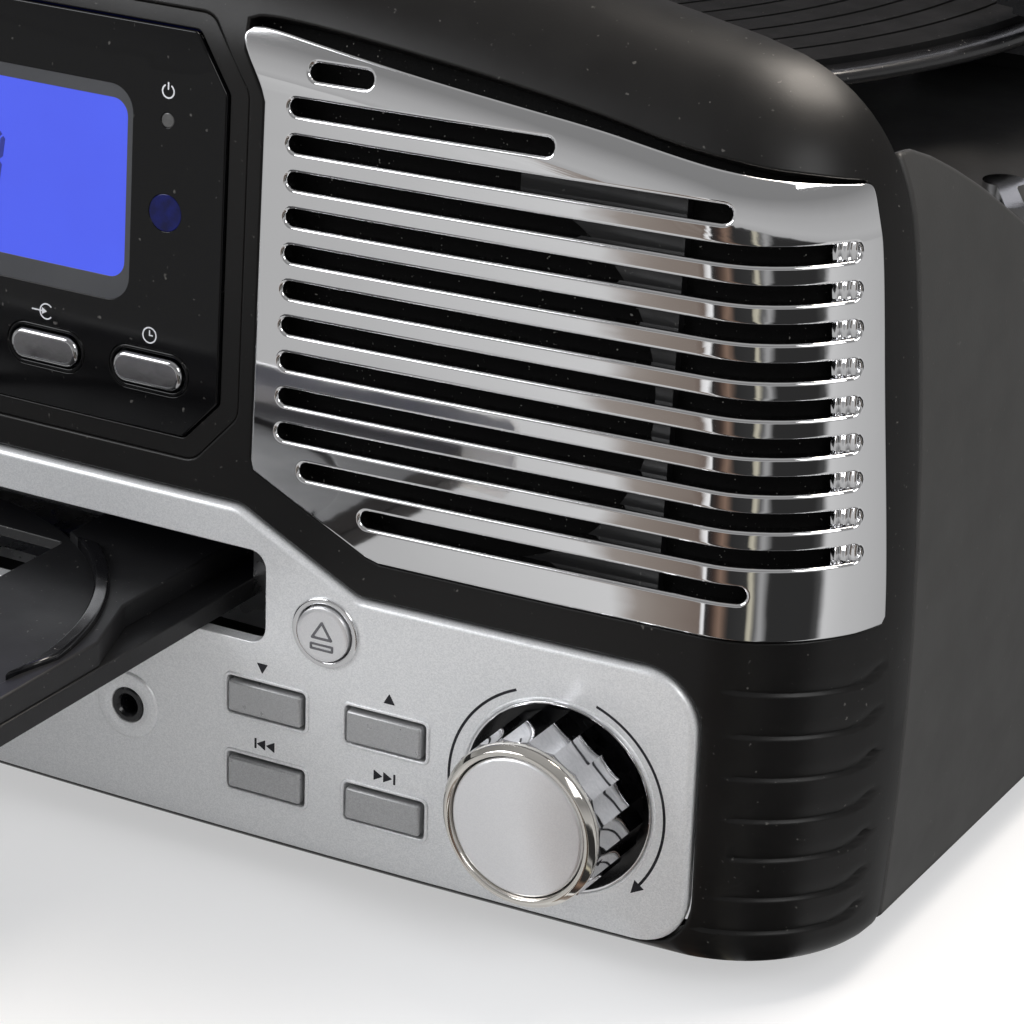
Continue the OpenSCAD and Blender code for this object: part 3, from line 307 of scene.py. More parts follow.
def readPlate(bm):
    nrm = bm.verts.layers.float_vector["nrm"]
    return np.array([v.co for v in bm.verts]), np.array([v[nrm] for v in bm.verts])


def lay(bm, shift=0.0, dent=None):
    # bends a flat plate onto the shell; returns points and normals in mm
    co, nn = readPlate(bm)
    p, tu, tv, n = shellFrame(co[:, 0], co[:, 1])
    w = co[:, 2] + shift
    normal = unit(tu * nn[:, :1] + tv * nn[:, 1:2] + n * nn[:, 2:])
    if dent:
        drop, touched = dent(co[:, 0], co[:, 1])
        w = w - drop
        normal[touched] = 0
    return p + n * w[:, None], normal


def lathe(profile, turns, ripple=None):
    # profile is (radius, height) from the inside out; ripple(angle, k) is added to the radius of point k
    bm = bmesh.new()
    rows = []
    for k, (r, h) in enumerate(profile):
        if r < 1e-6:
            rows.append([bm.verts.new((0, 0, h))])
            continue
        row = []
        for i in range(turns):
            a = 2 * math.pi * i / turns
            reach = r + (ripple(a, k) if ripple else 0.0)
            row.append(bm.verts.new((reach * math.cos(a), reach * math.sin(a), h)))
        rows.append(row)
    for lo, hi in zip(rows, rows[1:]):
        for i in range(turns):
            j = (i + 1) % turns
            if len(lo) == 1:
                bm.faces.new((lo[0], hi[i], hi[j]))
            elif len(hi) == 1:
                bm.faces.new((lo[i], hi[0], lo[j]))
            else:
                bm.faces.new((lo[i], hi[i], hi[j], lo[j]))
    return bm


# the finish that each look stands for; the other looks take none
finishOf = dict(front="black_plastic", tray="black_plastic", trayGloss="black_plastic", side="side_plastic",
                window="window", lcdFrame="screen", lcdBlue="screen", silver="silver_paint", key="key_grey",
                satin="satin_silver", socket="socket_plastic", chrome="chrome_trim", chromeFine="chrome_trim",
                pill="chrome_trim", knobChrome="chrome_trim", ring="chrome_trim")


def makePiece(name, bm, look, points=None, normals=None, body="cabinet", stands=(), mirror=False,
              sharp=None, finish=None):
    # points and normals in mm; mirror makes the same piece for the other half; sharp is in degrees
    bm.verts.ensure_lookup_table()
    if points is not None:
        for v, q in zip(bm.verts, points):
            v.co = q
    if mirror:
        for v in bm.verts:
            v.co.x = -v.co.x
        bmesh.ops.reverse_faces(bm, faces=list(bm.faces))
    for v in bm.verts:
        v.co *= 0.001
    mesh = bpy.data.meshes.new(name)
    bm.to_mesh(mesh)
    bm.free()
    for f in mesh.polygons:
        f.use_smooth = True
    if normals is not None:
        nn = np.array(normals, float)
        if mirror:
            nn[:, 0] = -nn[:, 0]
        mesh.normals_split_custom_set_from_vertices([tuple(q) for q in nn])
    elif sharp is not None:
        mesh.set_sharp_from_angle(angle=math.radians(sharp))
    if "nrm" in mesh.attributes:
        mesh.attributes.remove(mesh.attributes["nrm"])
    obj = bpy.data.objects.new(name, mesh)
    scene.collection.objects.link(obj)
    mesh.materials.append(looks[look])
    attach(obj, body)
    if stands:
        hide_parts(*stands)
    finish = finishOf.get(look) if finish is None else finish
    return obj


def layPiece(name, outer, holes, look, shift=0.0, us=(), vs=(), thick=2.0, lip=0.4, holeLip=None, steps=3,
             **more):
    # a plate bent onto the shell, cut first where it has to bend
    bm = flatPlate(outer, holes, thick, lip, holeLip, steps)
    sliceBy(bm, us, vs)
    return makePiece(name, bm, look, *lay(bm, shift), **more)


def flatPiece(name, outer, holes, look, at, shift=0.0, thick=2.0, lip=0.4, holeLip=None, steps=3, **more):
    # a plate kept flat, on a local frame of place, across, up and out
    bm = flatPlate(outer, holes, thick, lip, holeLip, steps)
    co, nn = readPlate(bm)
    basis = np.array(at[1:], float)
    co[:, 2] += shift
    return makePiece(name, bm, look, co @ basis + np.array(at[0], float), unit(nn @ basis), **more)


def turnedPiece(name, profile, turns, look, at, ripple=None, **more):
    # a turned part on a local frame
    bm = lathe(profile, turns, ripple)
    basis = np.array(at[1:], float)
    points = [np.array(v.co) @ basis + np.array(at[0], float) for v in bm.verts]
    return makePiece(name, bm, look, points, **more)


def makeLook(name, colour, metal=0.0, rough=0.4, coat=0.0, spec=0.5, grain=None, mottle=None,
             roughMottle=None, streak=None, sparkle=None, dust=None, glow=None, clear=None):
    # sizes in mm: grain (size, height) is a fine moulded texture, mottle (size, second colour),
    # roughMottle (size, lowest, highest), sparkle and dust (size, amount); streak stretches the grain
    mat = bpy.data.materials.new(name)
    mat.use_nodes = True
    tree = mat.node_tree
    new, link = tree.nodes.new, tree.links.new
    put = tree.nodes["Principled BSDF"].inputs
    plain = {"Metallic": metal, "Roughness": rough, "Base Color": (*colour, 1), "Specular IOR Level": spec,
             "Coat Weight": coat, "Coat Roughness": 0.05}
    if glow:
        plain.update({"Emission Color": (*glow[0], 1), "Emission Strength": glow[1]})
    if clear:
        plain.update({"Transmission Weight": clear, "IOR": 1.3})
    for key, value in plain.items():
        put[key].default_value = value
    where = along = new("ShaderNodeTexCoord").outputs["Object"]
    if streak:
        stretch = new("ShaderNodeMapping")
        link(where, stretch.inputs["Vector"])
        stretch.inputs["Scale"].default_value = streak
        along = stretch.outputs["Vector"]

    def noise(size, detail, source):
        n = new("ShaderNodeTexNoise")
        link(source, n.inputs["Vector"])
        n.inputs["Scale"].default_value = 1000.0 / size
        n.inputs["Detail"].default_value = detail
        n.inputs["Roughness"].default_value = 0.5
        return n.outputs["Fac"]

    def remap(value, a, b, lo, hi):
        m = new("ShaderNodeMapRange")
        link(value, m.inputs["Value"])
        for key, x in (("From Min", a), ("From Max", b), ("To Min", lo), ("To Max", hi)):
            m.inputs[key].default_value = x
        return m.outputs["Result"]

    def blend(fac, first, second):
        m = new("ShaderNodeMix")
        m.data_type = "RGBA"
        link(fac, m.inputs["Factor"])
        for key, value in (("A", first), ("B", second)):
            socket = [s for s in m.inputs if s.name == key and s.type == "RGBA"][0]
            if isinstance(value, tuple):
                socket.default_value = (*value, 1)
            else:
                link(value, socket)
        return [s for s in m.outputs if s.type == "RGBA"][0]

    shown = colour
    if mottle:
        size, second = mottle
        shown = blend(remap(noise(size, 4.0, where), 0.35, 0.65, 0.0, 1.0), colour, second)
    if sparkle:
        size, amount = sparkle
        cells = new("ShaderNodeTexVoronoi")
        link(where, cells.inputs["Vector"])
        cells.inputs["Scale"].default_value = 1000.0 / size
        bright = new("ShaderNodeSeparateColor")
        link(cells.outputs["Color"], bright.inputs["Color"])
        flash = tuple(min(1.0, c * 1.9 + 0.1) for c in colour)
        shown = blend(remap(bright.outputs["Red"], 0.0, 1.0, 0.0, amount), shown, flash)
    if dust:
        size, amount = dust
        shown = blend(remap(noise(size, 1.0, where), 0.74, 0.80, 0.0, amount), shown, (0.62, 0.6, 0.56))
    if not isinstance(shown, tuple):
        link(shown, put["Base Color"])
    if roughMottle:
        size, lo, hi = roughMottle
        link(remap(noise(size, 5.0, along), 0.3, 0.7, lo, hi), put["Roughness"])
    if grain:
        size, height = grain
        bump = new("ShaderNodeBump")
        link(noise(size, 2.0, along), bump.inputs["Height"])
        bump.inputs["Distance"].default_value = height * 0.001
        bump.inputs["Strength"].default_value = 1.0
        link(bump.outputs["Normal"], put["Normal"])
    return mat


# each look's material name and base colour, then what differs from a plain one
lookTable = dict(
    front=("satin_black", (0.0042, 0.0040, 0.0040), dict(rough=0.34, spec=0.27, grain=(0.5, 0.008),
        mottle=(60, (0.0055, 0.0051, 0.0050)), roughMottle=(9, 0.31, 0.39), dust=(1.0, 0.08))),
    side=("charcoal", (0.024, 0.0235, 0.023), dict(rough=0.46, spec=0.42, grain=(0.45, 0.012),
        mottle=(80, (0.0265, 0.026, 0.0255)), roughMottle=(12, 0.42, 0.5), dust=(1.2, 0.05))),
    deck=("deck_black", (0.009, 0.009, 0.0095), dict(rough=0.5, grain=(0.6, 0.012),
        roughMottle=(14, 0.44, 0.56), dust=(1.0, 0.12))),
    hollow=("inner_black", (0.004, 0.004, 0.004), dict(rough=0.85, spec=0.1, grain=(1.0, 0.05),
        mottle=(20, (0.006, 0.006, 0.006)))),
    cloth=("speaker_cloth", (0.006, 0.006, 0.006), dict(rough=0.9, spec=0.1, grain=(0.9, 0.15),
        dust=(0.55, 0.5))),
    window=("gloss_window", (0.0025, 0.0025, 0.0028), dict(rough=0.07, spec=0.28,
        roughMottle=(25, 0.05, 0.09), grain=(18, 0.008), dust=(1.3, 0.10))),
    chrome=("chrome", (0.80, 0.80, 0.81), dict(metal=1.0, rough=0.035, roughMottle=(14, 0.02, 0.06),
        grain=(5, 0.012), streak=(0.35, 0.35, 1.0))),
    chromeFine=("chrome_small", (0.82, 0.82, 0.83), dict(metal=1.0, rough=0.06, roughMottle=(4, 0.04, 0.09),
        grain=(3, 0.006))),
    silver=("silver_paint", (0.58, 0.59, 0.605), dict(metal=0.45, rough=0.38, sparkle=(0.20, 0.30),
        roughMottle=(2.0, 0.30, 0.44), grain=(0.28, 0.006))),
    satin=("satin_silver", (0.80, 0.80, 0.82), dict(metal=0.85, rough=0.34, sparkle=(0.16, 0.30),
        roughMottle=(3, 0.30, 0.38), grain=(0.2, 0.003))),
    key=("key_grey", (0.33, 0.333, 0.34), dict(metal=0.6, rough=0.33, sparkle=(0.18, 0.22),
        roughMottle=(3, 0.27, 0.37), grain=(0.25, 0.004))),
    ink=("dark_ink", (0.008, 0.008, 0.011), dict(spec=0.2, rough=0.5, mottle=(3, (0.02, 0.02, 0.024)))),
    signGrey=("sign_grey", (0.10, 0.10, 0.11), dict(metal=0.3, rough=0.45, mottle=(2, (0.13, 0.13, 0.14)))),
    paleInk=("pale_ink", (0.62, 0.63, 0.66), dict(rough=0.5, mottle=(2, (0.5, 0.51, 0.54)))),
    lcdFrame=("screen_frame", (0.035, 0.037, 0.043), dict(rough=0.35, coat=0.5,
        mottle=(30, (0.045, 0.047, 0.052)))),
    lcdBlue=("screen_blue", (0.01, 0.02, 0.2), dict(rough=0.25, coat=0.3, mottle=(40, (0.012, 0.03, 0.26)),
        glow=((0.056, 0.084, 0.66), 0.92))),
    lcdDark=("screen_mark", (0.01, 0.012, 0.09), dict(rough=0.3, mottle=(5, (0.012, 0.015, 0.1)),
        glow=((0.012, 0.02, 0.2), 0.8))),
    lens=("blue_lens", (0.002, 0.003, 0.035), dict(rough=0.10, spec=0.3, mottle=(2, (0.003, 0.006, 0.08)))),
    ledOff=("led_smoked", (0.045, 0.045, 0.045), dict(rough=0.3, coat=0.4, mottle=(1, (0.07, 0.07, 0.07)))),
    socket=("socket_black", (0.006, 0.006, 0.007), dict(rough=0.28, grain=(0.4, 0.004),
        roughMottle=(3, 0.22, 0.34))),
    tray=("tray_black", (0.008, 0.008, 0.009), dict(rough=0.45, grain=(0.42, 0.016),
        roughMottle=(10, 0.40, 0.5), dust=(0.8, 0.22))),
    trayGloss=("tray_gloss", (0.006, 0.006, 0.007), dict(rough=0.16, grain=(3, 0.004),
        roughMottle=(6, 0.12, 0.22), dust=(0.7, 0.3))),
    pill=("chrome_pill", (0.50, 0.50, 0.51), dict(metal=1.0, rough=0.09, roughMottle=(3, 0.06, 0.13),
        grain=(2.5, 0.005))),
    knobChrome=("chrome_knob", (0.66, 0.66, 0.68), dict(metal=1.0, rough=0.045, roughMottle=(3, 0.03, 0.07),
        grain=(2.0, 0.004))),
    ring=("warm_chrome", (0.80, 0.77, 0.72), dict(metal=1.0, rough=0.07, roughMottle=(3, 0.05, 0.11),
        grain=(2.0, 0.003))),
    platter=("platter_black", (0.010, 0.010, 0.011), dict(rough=0.22, coat=0.3, grain=(6, 0.01),
        roughMottle=(30, 0.18, 0.28), dust=(1.0, 0.5))),
    rubber=("rubber", (0.006, 0.006, 0.0065), dict(rough=0.8, spec=0.12, grain=(0.5, 0.03),
        roughMottle=(8, 0.7, 0.88), dust=(0.9, 0.12))),
    metal=("plain_metal", (0.56, 0.56, 0.57), dict(metal=1.0, rough=0.28, roughMottle=(4, 0.22, 0.36),
        grain=(0.8, 0.01))),
    brass=("brass", (0.72, 0.52, 0.22), dict(metal=1.0, rough=0.25, roughMottle=(3, 0.2, 0.32),
        grain=(0.8, 0.006))),
    dark=("dark_satin", (0.045, 0.046, 0.05), dict(metal=0.6, rough=0.34, roughMottle=(4, 0.28, 0.4),
        grain=(0.4, 0.006), sparkle=(0.3, 0.3))),
    pickup=("pickup_black", (0.012, 0.012, 0.013), dict(rough=0.25, coat=0.3, roughMottle=(4, 0.2, 0.32),
        grain=(1.0, 0.004))),
    board=("board_green", (0.02, 0.12, 0.05), dict(mottle=(6, (0.03, 0.16, 0.07)), grain=(1.5, 0.02))),
    cone=("paper_cone", (0.012, 0.012, 0.012), dict(rough=0.8, grain=(0.9, 0.08),
        mottle=(12, (0.018, 0.018, 0.017)))),
    lid=("smoked_lid", (0.42, 0.42, 0.45), dict(rough=0.03, roughMottle=(30, 0.015, 0.05), grain=(22, 0.01),
        clear=1.0)),
    white=("white_plastic", (0.7, 0.69, 0.66), dict(rough=0.3, mottle=(5, (0.64, 0.63, 0.6)),
        grain=(0.8, 0.005))),
)
looks = {key: makeLook(name, colour, **more) for key, (name, colour, more) in lookTable.items()}
print("materials made")

# the front moulding; the chrome grille's outline and the opening for it are read off the photograph
grille = dict(
    left=73.6, low=67.2,
    top=[(70.0, 154.6), (73.0, 154.9), (82.9, 153.4), (101.6, 150.9), (119.7, 148.9), (133.7, 147.4),
         (142.6, 145.9), (151.1, 144.6), (156.5, 144.1), (162.1, 144.1), (171.2, 144.4), (182.6, 144.3)],
    gapTop=[(68.6, 155.7), (71.0, 156.8), (81.5, 156.4), (100.3, 154.5), (119.7, 152.0), (135.3, 149.4),
            (144.8, 147.2), (155.9, 145.9), (161.7, 145.8), (171.5, 145.9), (183.0, 144.9)],
    rightEdge=[(184.1, 143.9), (184.7, 142.4), (185.0, 138.2), (185.8, 131.9), (186.4, 125.6), (187.6, 107.1),
               (189.2, 90.3), (190.6, 76.0), (191.0, 69.6)],
    proud=0.8, thick=2.4, lip=0.5,
)
slots = dict(count=13, firstV=148.9, pitch=6.22, half=1.42, lip=0.7,
             starts=[81.8] + [78.5] * 10 + [83.2, 95.4],
             ends=[93.4, 126.6, 157.6, 180.6, 181.0, 181.5, 181.9, 182.3, 182.8, 183.3, 183.9, 184.5, 165.4],
             riseAt=[80, 100, 138, 162, 184], rise=[0, 0.25, 0.75, 1.0, 1.75])
halves = ((1, "right"), (-1, "left"))


def grilleOutline():
    le, lo, top = grille["left"], grille["low"], grille["top"]
    right = smoothLine([top[-1]] + grille["rightEdge"])
    line = smoothLine(top)
    points = [(le, 80.4), (le + 0.5, 78.6), (96.8, lo + 0.5), (99.2, lo - 0.1), (133, lo), (165, lo + 0.3),
              (184.6, lo + 1.0), (190.2, lo + 1.5)]
    lobe = smoothLine([line[0], (68.2, 153.2), (69.3, 150.6), (72.6, 145.6), (le, 142.6)])
    return points + right[::-1][1:-1] + line[::-1] + lobe[1:]


def slotRise(u):
    return float(np.interp(u, slots["riseAt"], slots["rise"]))


def slotOutline(i):
    half, u0, u1 = slots["half"], slots["starts"][i], slots["ends"][i]
    v = slots["firstV"] - slots["pitch"] * i
    n = max(2, int((u1 - u0) / 3))
    us = [u0 + half + (u1 - u0 - 2 * half) * k / n for k in range(n + 1)]
    lower = [(u, v - half + slotRise(u)) for u in us]
    upper = [(u, v + half + slotRise(u)) for u in us]
    endRight = arcPoints(us[-1], v + slotRise(us[-1]), half, -90, 90, 8)[1:-1]
    endLeft = arcPoints(us[0], v + slotRise(us[0]), half, 90, 270, 8)[1:-1]
    return lower + endRight + upper[::-1] + endLeft


windowLine = softCorners(bothHalves([(59.4, 81.4), (66.2, 88.6), (66.2, 142.4), (59.6, 152.2)]), 1.3, 6)
recessLine = softCorners(bothHalves([(61.6, 77.6), (70.2, 87.0), (70.2, 143.4), (61.8, 155.6)]), 4.0, 8)
panel = dict(halfWidth=158.8, low=8.6, high=59.5, midHigh=71.4, midX=71.5, shoulderX=95.4, corner=10.0,
             shoulderR=5.0, midR=7.0, proud=0.7, thick=2.8, lip=1.3)


def panelOutline(more):
    w, lo, hi = panel["halfWidth"] + more, panel["low"] - more, panel["high"] + more
    sx, mx, mz = panel["shoulderX"] + more * 0.4, panel["midX"] + more * 0.4, panel["midHigh"] + more
    c, sr, mr = panel["corner"] + more, panel["shoulderR"], panel["midR"]
    return softCorners(bothHalves([(w, lo), (w, hi), (sx, hi), (mx, mz)]), [c, c, c, sr, mr, mr, sr, c], 10)


# corner grooves: a sharp lower edge, fading out upwards, deep and curled up at the rear end
grooves = dict(lines=[58.0, 50.2, 42.5, 34.8, 27.5, 20.0, 13.6],
               start=[163.4, 165.4, 165.4, 165.5, 165.6, 164.2, 160.6], end=192.8,
               depth=0.62, fade=3.6, curl=3.2, curlFrom=186.5, curlLong=6.3, edge=0.2,
               cuts=(-0.5, 0.0, 0.2, 0.5, 0.9, 1.4, 2.0, 2.7, 3.6, 4.6))


def grooveDent(u, v):
    au = np.abs(u)
    drop = np.zeros(len(u))
    for line, start in zip(grooves["lines"], grooves["start"]):
        lift = grooves["curl"] * np.clip((au - grooves["curlFrom"]) / grooves["curlLong"], 0, 1) ** 2.2
        h = v - line - lift
        fade = grooves["fade"] - lift * 0.9
        near = np.clip((au - start) / 0.5, 0, 1) * np.clip((grooves["end"] + 0.3 - au) / 0.6, 0, 1)
        ramp = np.clip(h / grooves["edge"], 0, 1) * (1 - np.clip(h / fade, 0, 1)) ** 1.5
        deeper = 1 + 0.9 * np.clip((au - 186) / 5, 0, 1)
        drop = np.maximum(drop, np.where((h > 0) & (h < fade), grooves["depth"] * ramp * near * deeper, 0))
    return drop, (au > 158.5) & (au < 196.5) & (v < 66) & (v > 9)


def nearGrooves(face):
    c = face.calc_center_median()
    return abs(c.x) > form["cornerX"] and 9 < c.y < 66


# the moulding's own sizes: room round panel and grille, cut lines, and the lip at the rear seam
moulding = dict(thick=3.5, edge=0.5, panelGap=0.55, grilleGap=0.3, wide=7, bottom=-1.5, top=196.0,
                lipDeep=2.2, lipBack=0.4, wallFrom=104, wallIn=1.9)


def frontMoulding():
    cx, seam = form["cornerX"], form["seamY"]
    wide = cx + form["corner"] * math.pi / 2 + moulding["wide"]
    outer = bothHalves([(wide, moulding["bottom"]), (wide, moulding["top"])])
    # the wide dark gap over the grille
    grown = grow(grilleOutline(), moulding["grilleGap"])
    opening = [q for q in grown if not (q[1] > 144.0 and q[0] > 69.5 or q[1] > 150.9)]
    corner = max(i for i, q in enumerate(opening) if q[1] > 140 and q[0] > 180) + 1
    opening = opening[:corner] + smoothLine(grille["gapTop"])[::-1] + opening[corner:]
    holes = [recessLine, panelOutline(moulding["panelGap"]), opening, flip(opening)]
    bm = flatPlate(outer, holes, moulding["thick"], 0.01, moulding["edge"], 3)
    us = [15 * i for i in range(11)] + [cx + 1.6 * i for i in range(25)] + [cx + 40.84 + a for a in (2, 4.5)]
    vs = [-1.2, 0, 1.3, 2.6, 4, 5.5, 7, 8.5, 10.5, 12, 30, 45, 60, 66, 78, 90, 102, 114, 126]
    sliceBy(bm, sorted(set(us) | {-u for u in us}), vs + [133 + 2.5 * i for i in range(25)])
    # fine lines only where the grooves are
    for line in grooves["lines"]:
        for dv in grooves["cuts"]:
            cutAt(bm, 1, line + dv, [f for f in bm.faces if nearGrooves(f)])
    points, normals = lay(bm, 0.0, grooveDent)
    bm.verts.ensure_lookup_table()
    keep = bm.verts.layers.float_vector["nrm"]
    for v, q, m in zip(bm.verts, points, normals):
        v.co, v[keep] = q, m
    cutAt(bm, 1, seam, clear_outer=True)
    rim = [e for e in bm.edges if e.is_boundary and all(abs(v.co.y - seam) < 1e-3 for v in e.verts)]
    rimLine = sorted({(round(v.co.x, 3), round(v.co.z, 3)) for e in rim for v in e.verts},
                     key=lambda q: math.atan2(q[1] - 60, q[0]))
    # the lip turned in along the rim, made point by point so that its order is the same each run
    inner = {}
    for v in dict.fromkeys(v for e in rim for v in e.verts):
        out = Vector(v[keep]) if Vector(v[keep]).length > 0 else Vector((0, 0, 1))
        inner[v] = bm.verts.new(v.co - out * moulding["lipDeep"] + Vector((0, moulding["lipBack"], 0)))
    for e in rim:
        a, b = e.link_loops[0].vert, e.link_loops[0].link_loop_next.vert
        bm.faces.new((b, a, inner[a], inner[b]))
    bm.verts.ensure_lookup_table()
    makePiece("front_moulding", bm, "front", None, [tuple(v[keep]) for v in bm.verts], stands=["fascia"])
    # the wall behind it, above the deck
    foot = moulding["wallFrom"]
    wall = [q for q in rimLine if q[1] > foot]
    wall = grow([(-wall[-1][0], foot)] + flip(wall) + [(-wall[0][0], foot)], -moulding["wallIn"])
    flatPiece("moulding_back", [(-x, z) for x, z in wall], [], "front",
              ((0, seam + 0.15, 0), (-1, 0, 0), (0, 0, 1), (0, 1, 0)), lip=0.5)


frontMoulding()
print("front moulding made")

wrap = [90, 105, 120, 135, 150] + [158 + 1.5 * i for i in range(24)]
layPiece("window_surround", recessLine, [grow(windowLine, 0.25)], "front", -0.3, [-60, -30, 0, 30, 60],
         lip=0.3, holeLip=0.3, finish="")

# the ribbed ramps at the outer ends of the slots, for the slots from first to last
ramps = dict(first=3, last=11, long=4.4, deep=2.3, ribs=3, rib=0.30, over=0.25, hollow=0.35)


def rampPoint(u, v, t, side):
    # t runs along the ramp and side across it, from -1 to 1
    wave = math.sin(t * ramps["ribs"] * 2 * math.pi - 1.2)
    w = -ramps["deep"] * (1 - t) ** 1.3 - 0.25 + ramps["rib"] * wave
    return (u - ramps["long"] * (1 - t), v + side * (slots["half"] + ramps["over"]),
            w - ramps["hollow"] * (1 - side ** 2))


def slotRamps():
    bm = bmesh.new()
    bm.verts.layers.float_vector.new("nrm")
    for i in range(ramps["first"], ramps["last"] + 1):
        u = slots["ends"][i] + 0.2
        v = slots["firstV"] - slots["pitch"] * i + slotRise(u)
        rows = [[bm.verts.new(rampPoint(u, v, a / 30, b / 4 - 1)) for b in range(9)] for a in range(31)]
        for lo, hi in zip(rows, rows[1:]):
            for b in range(8):
                bm.faces.new((lo[b], hi[b], hi[b + 1], lo[b + 1]))
    return bm


# the dark cloth behind the slots, and the chrome grilles
for s, tag in halves:
    layPiece("grille_cloth_" + tag, [(67, 62), (193, 62), (193, 159), (67, 159)], [], "cloth", -4.6, wrap,
             [80, 95, 110, 125, 135, 140, 145, 150, 155], lip=0.1, thick=0.5, mirror=s < 0)
    rows = [slotOutline(i) for i in range(slots["count"])]
    layPiece("chrome_grille_" + tag, grilleOutline(), rows, "chrome", grille["proud"], wrap,
             [85, 100, 115, 130, 137, 142, 147, 151], thick=grille["thick"], lip=grille["lip"],
             holeLip=slots["lip"], steps=4, mirror=s < 0, stands=["grille_" + tag])
for s, tag in halves:
    bm = slotRamps()
    makePiece("slot_ramps_" + tag, bm, "chromeFine", lay(bm, grille["proud"])[0], mirror=s < 0)
print("grilles made")

# display window: screen and frame as half width, bottom and top
display = dict(screen=(46.5, 107.2, 138.5), frame=(47.6, 103.1, 140.9), pillW=14.4, pillH=5.8, pillZ=92.0,
               pillX=[30.6, 52.2], pillRoom=2.0, lens=(54.6, 120.3, 3.25), lamp=(54.6, 136.3, 1.3), over=0.05)
lcdCuts = [110, 120, 130]


def screenBox(part, r):
    half, low, high = display[part]
    return roundBox(2 * half, high - low, r, 0, (low + high) / 2, 8)


def pillBox(more, slack, x=0, z=0, n=12):
    w, h = display["pillW"] + more, display["pillH"] + more
    return roundBox(w, h, h / 2 - slack, x, z, n)


screenHole, screenIn = screenBox("frame", 4.6), screenBox("screen", 3.0)
paneHoles = [pillBox(display["pillRoom"], 0.05, s * x, display["pillZ"], 10)
             for s in (-1, 1) for x in display["pillX"]]
paneHoles += [ring(*display["lens"], 40), ring(*display["lamp"], 24), screenHole]
wideSteps = [-60, -45, -30, -15, 0, 15, 30, 45, 60]
layPiece("display_pane", windowLine, paneHoles, "window", 0.25, wideSteps, [90, 100, 120, 140],
         lip=0.35, holeLip=0.15, stands=["display_window"])
layPiece("screen_frame", grow(screenHole, 0.3), [screenIn], "lcdFrame", 0.1, wideSteps, lcdCuts,
         lip=0.02, holeLip=0.05, stands=["lcd_module"])
layPiece("screen_glass", grow(screenIn, 0.3), [], "lcdBlue", 0.02, wideSteps, lcdCuts, lip=0.02)
for name, part, n, look, shift, lip in (("remote_lens", "lens", 40, "lens", 0.22, 0.2),
                                        ("standby_lamp", "lamp", 24, "ledOff", 0.2, 0.3)):
    x, z, r = display[part]
    layPiece(name, ring(x, z, r + display["over"], n), [], look, shift, lip=lip)
print("display made")

# lower panel with its tray mouth and the holes for keys, sockets and knobs
keys = dict(x=[77.8, 101.6], z=[36.2, 21.4], w=14.7, h=5.9, gap=0.55, ringW=0.75, proud=1.0)
dial = dict(x=134.5, z=32.4, arcX=134.1, arcZ=31.9, arcR=20.1, wide=0.5, hole=17.3)
eject = dict(x=89.5, z=52.3, hole=5.85)
port = dict(x=48.9, z=28.5, hole=3.7, usbW=14.2, usbH=6.6)


def keyBox(more, r, n, x=0, z=0):
    return roundBox(keys["w"] + more, keys["h"] + more, r, x, z, n)


trayMouth = softCorners(bothHalves([(77.4, 47.0), (77.4, 64.2)]), 3.2, 8)
usbMouth = roundBox(port["usbW"], port["usbH"], 0.8, -port["x"], port["z"])
holes = [ring(s * one["x"], one["z"], one["hole"], n)
         for one, s, n in ((eject, 1, 48), (port, 1, 36), (dial, 1, 96), (dial, -1, 96))]
holes = [trayMouth] + holes[:2] + [usbMouth] + holes[2:]
holes += [keyBox(2 * keys["gap"], 0.7, 4, s * x, z) for s in (-1, 1) for x in keys["x"] for z in keys["z"]]
layPiece("lower_front", panelOutline(0), holes, "silver", panel["proud"], [20 * i - 150 for i in range(16)],
         [14, 26, 40, 50, 60], thick=panel["thick"], lip=panel["lip"], holeLip=0.25, steps=5,
         stands=["lower_panel"])
keyNames = ((1, ("preset_down", "preset_up", "skip_back", "skip_forward")),
            (-1, ("stop", "play", "repeat", "program")))
for s, row in keyNames:
    for k, word in enumerate(row):
        node = "key_" + word
        at = faceOn(s * keys["x"][k % 2], keys["z"][k // 2])
        flatPiece(node + "_cap", keyBox(0, 0.5, 3), [], "key", at, panel["proud"] + keys["proud"], thick=4.0,
                  lip=0.55, body=node + "_body", stands=[node])
        flatPiece("rim_" + node, keyBox(2 * (keys["gap"] + keys["ringW"]), 1.5, 5),
                  [keyBox(2 * keys["gap"] + 0.1, 0.8, 4)], "silver", at, panel["proud"] + 0.3, thick=1.2,
                  lip=0.32, holeLip=0.3)
print("keys made")


def mark(name, loops, look="ink", shift=panel["proud"]):
    # a printed mark laid on the front, a few hundredths of a millimetre proud
    for k, loop in enumerate(loops):
        xs = [q[0] for q in loop]
        layPiece(name if k == 0 else "%s_%d" % (name, k + 1), loop, [], look, shift + 0.03,
                 np.arange(min(xs), max(xs), 2.5)[1:], thick=0.03, lip=0.01, steps=1)


def bar(w, h, r, cx, cy):
    return roundBox(w, h, r, cx, cy, 2)


def triangle(cx, cy, size, way):
    a = {"up": 90, "down": -90, "left": 180, "right": 0}[way]
    return softCorners(onCircle(cx, cy, size * 0.62, [math.radians(a + d) for d in (0, 120, 240)]), 0.08, 2)


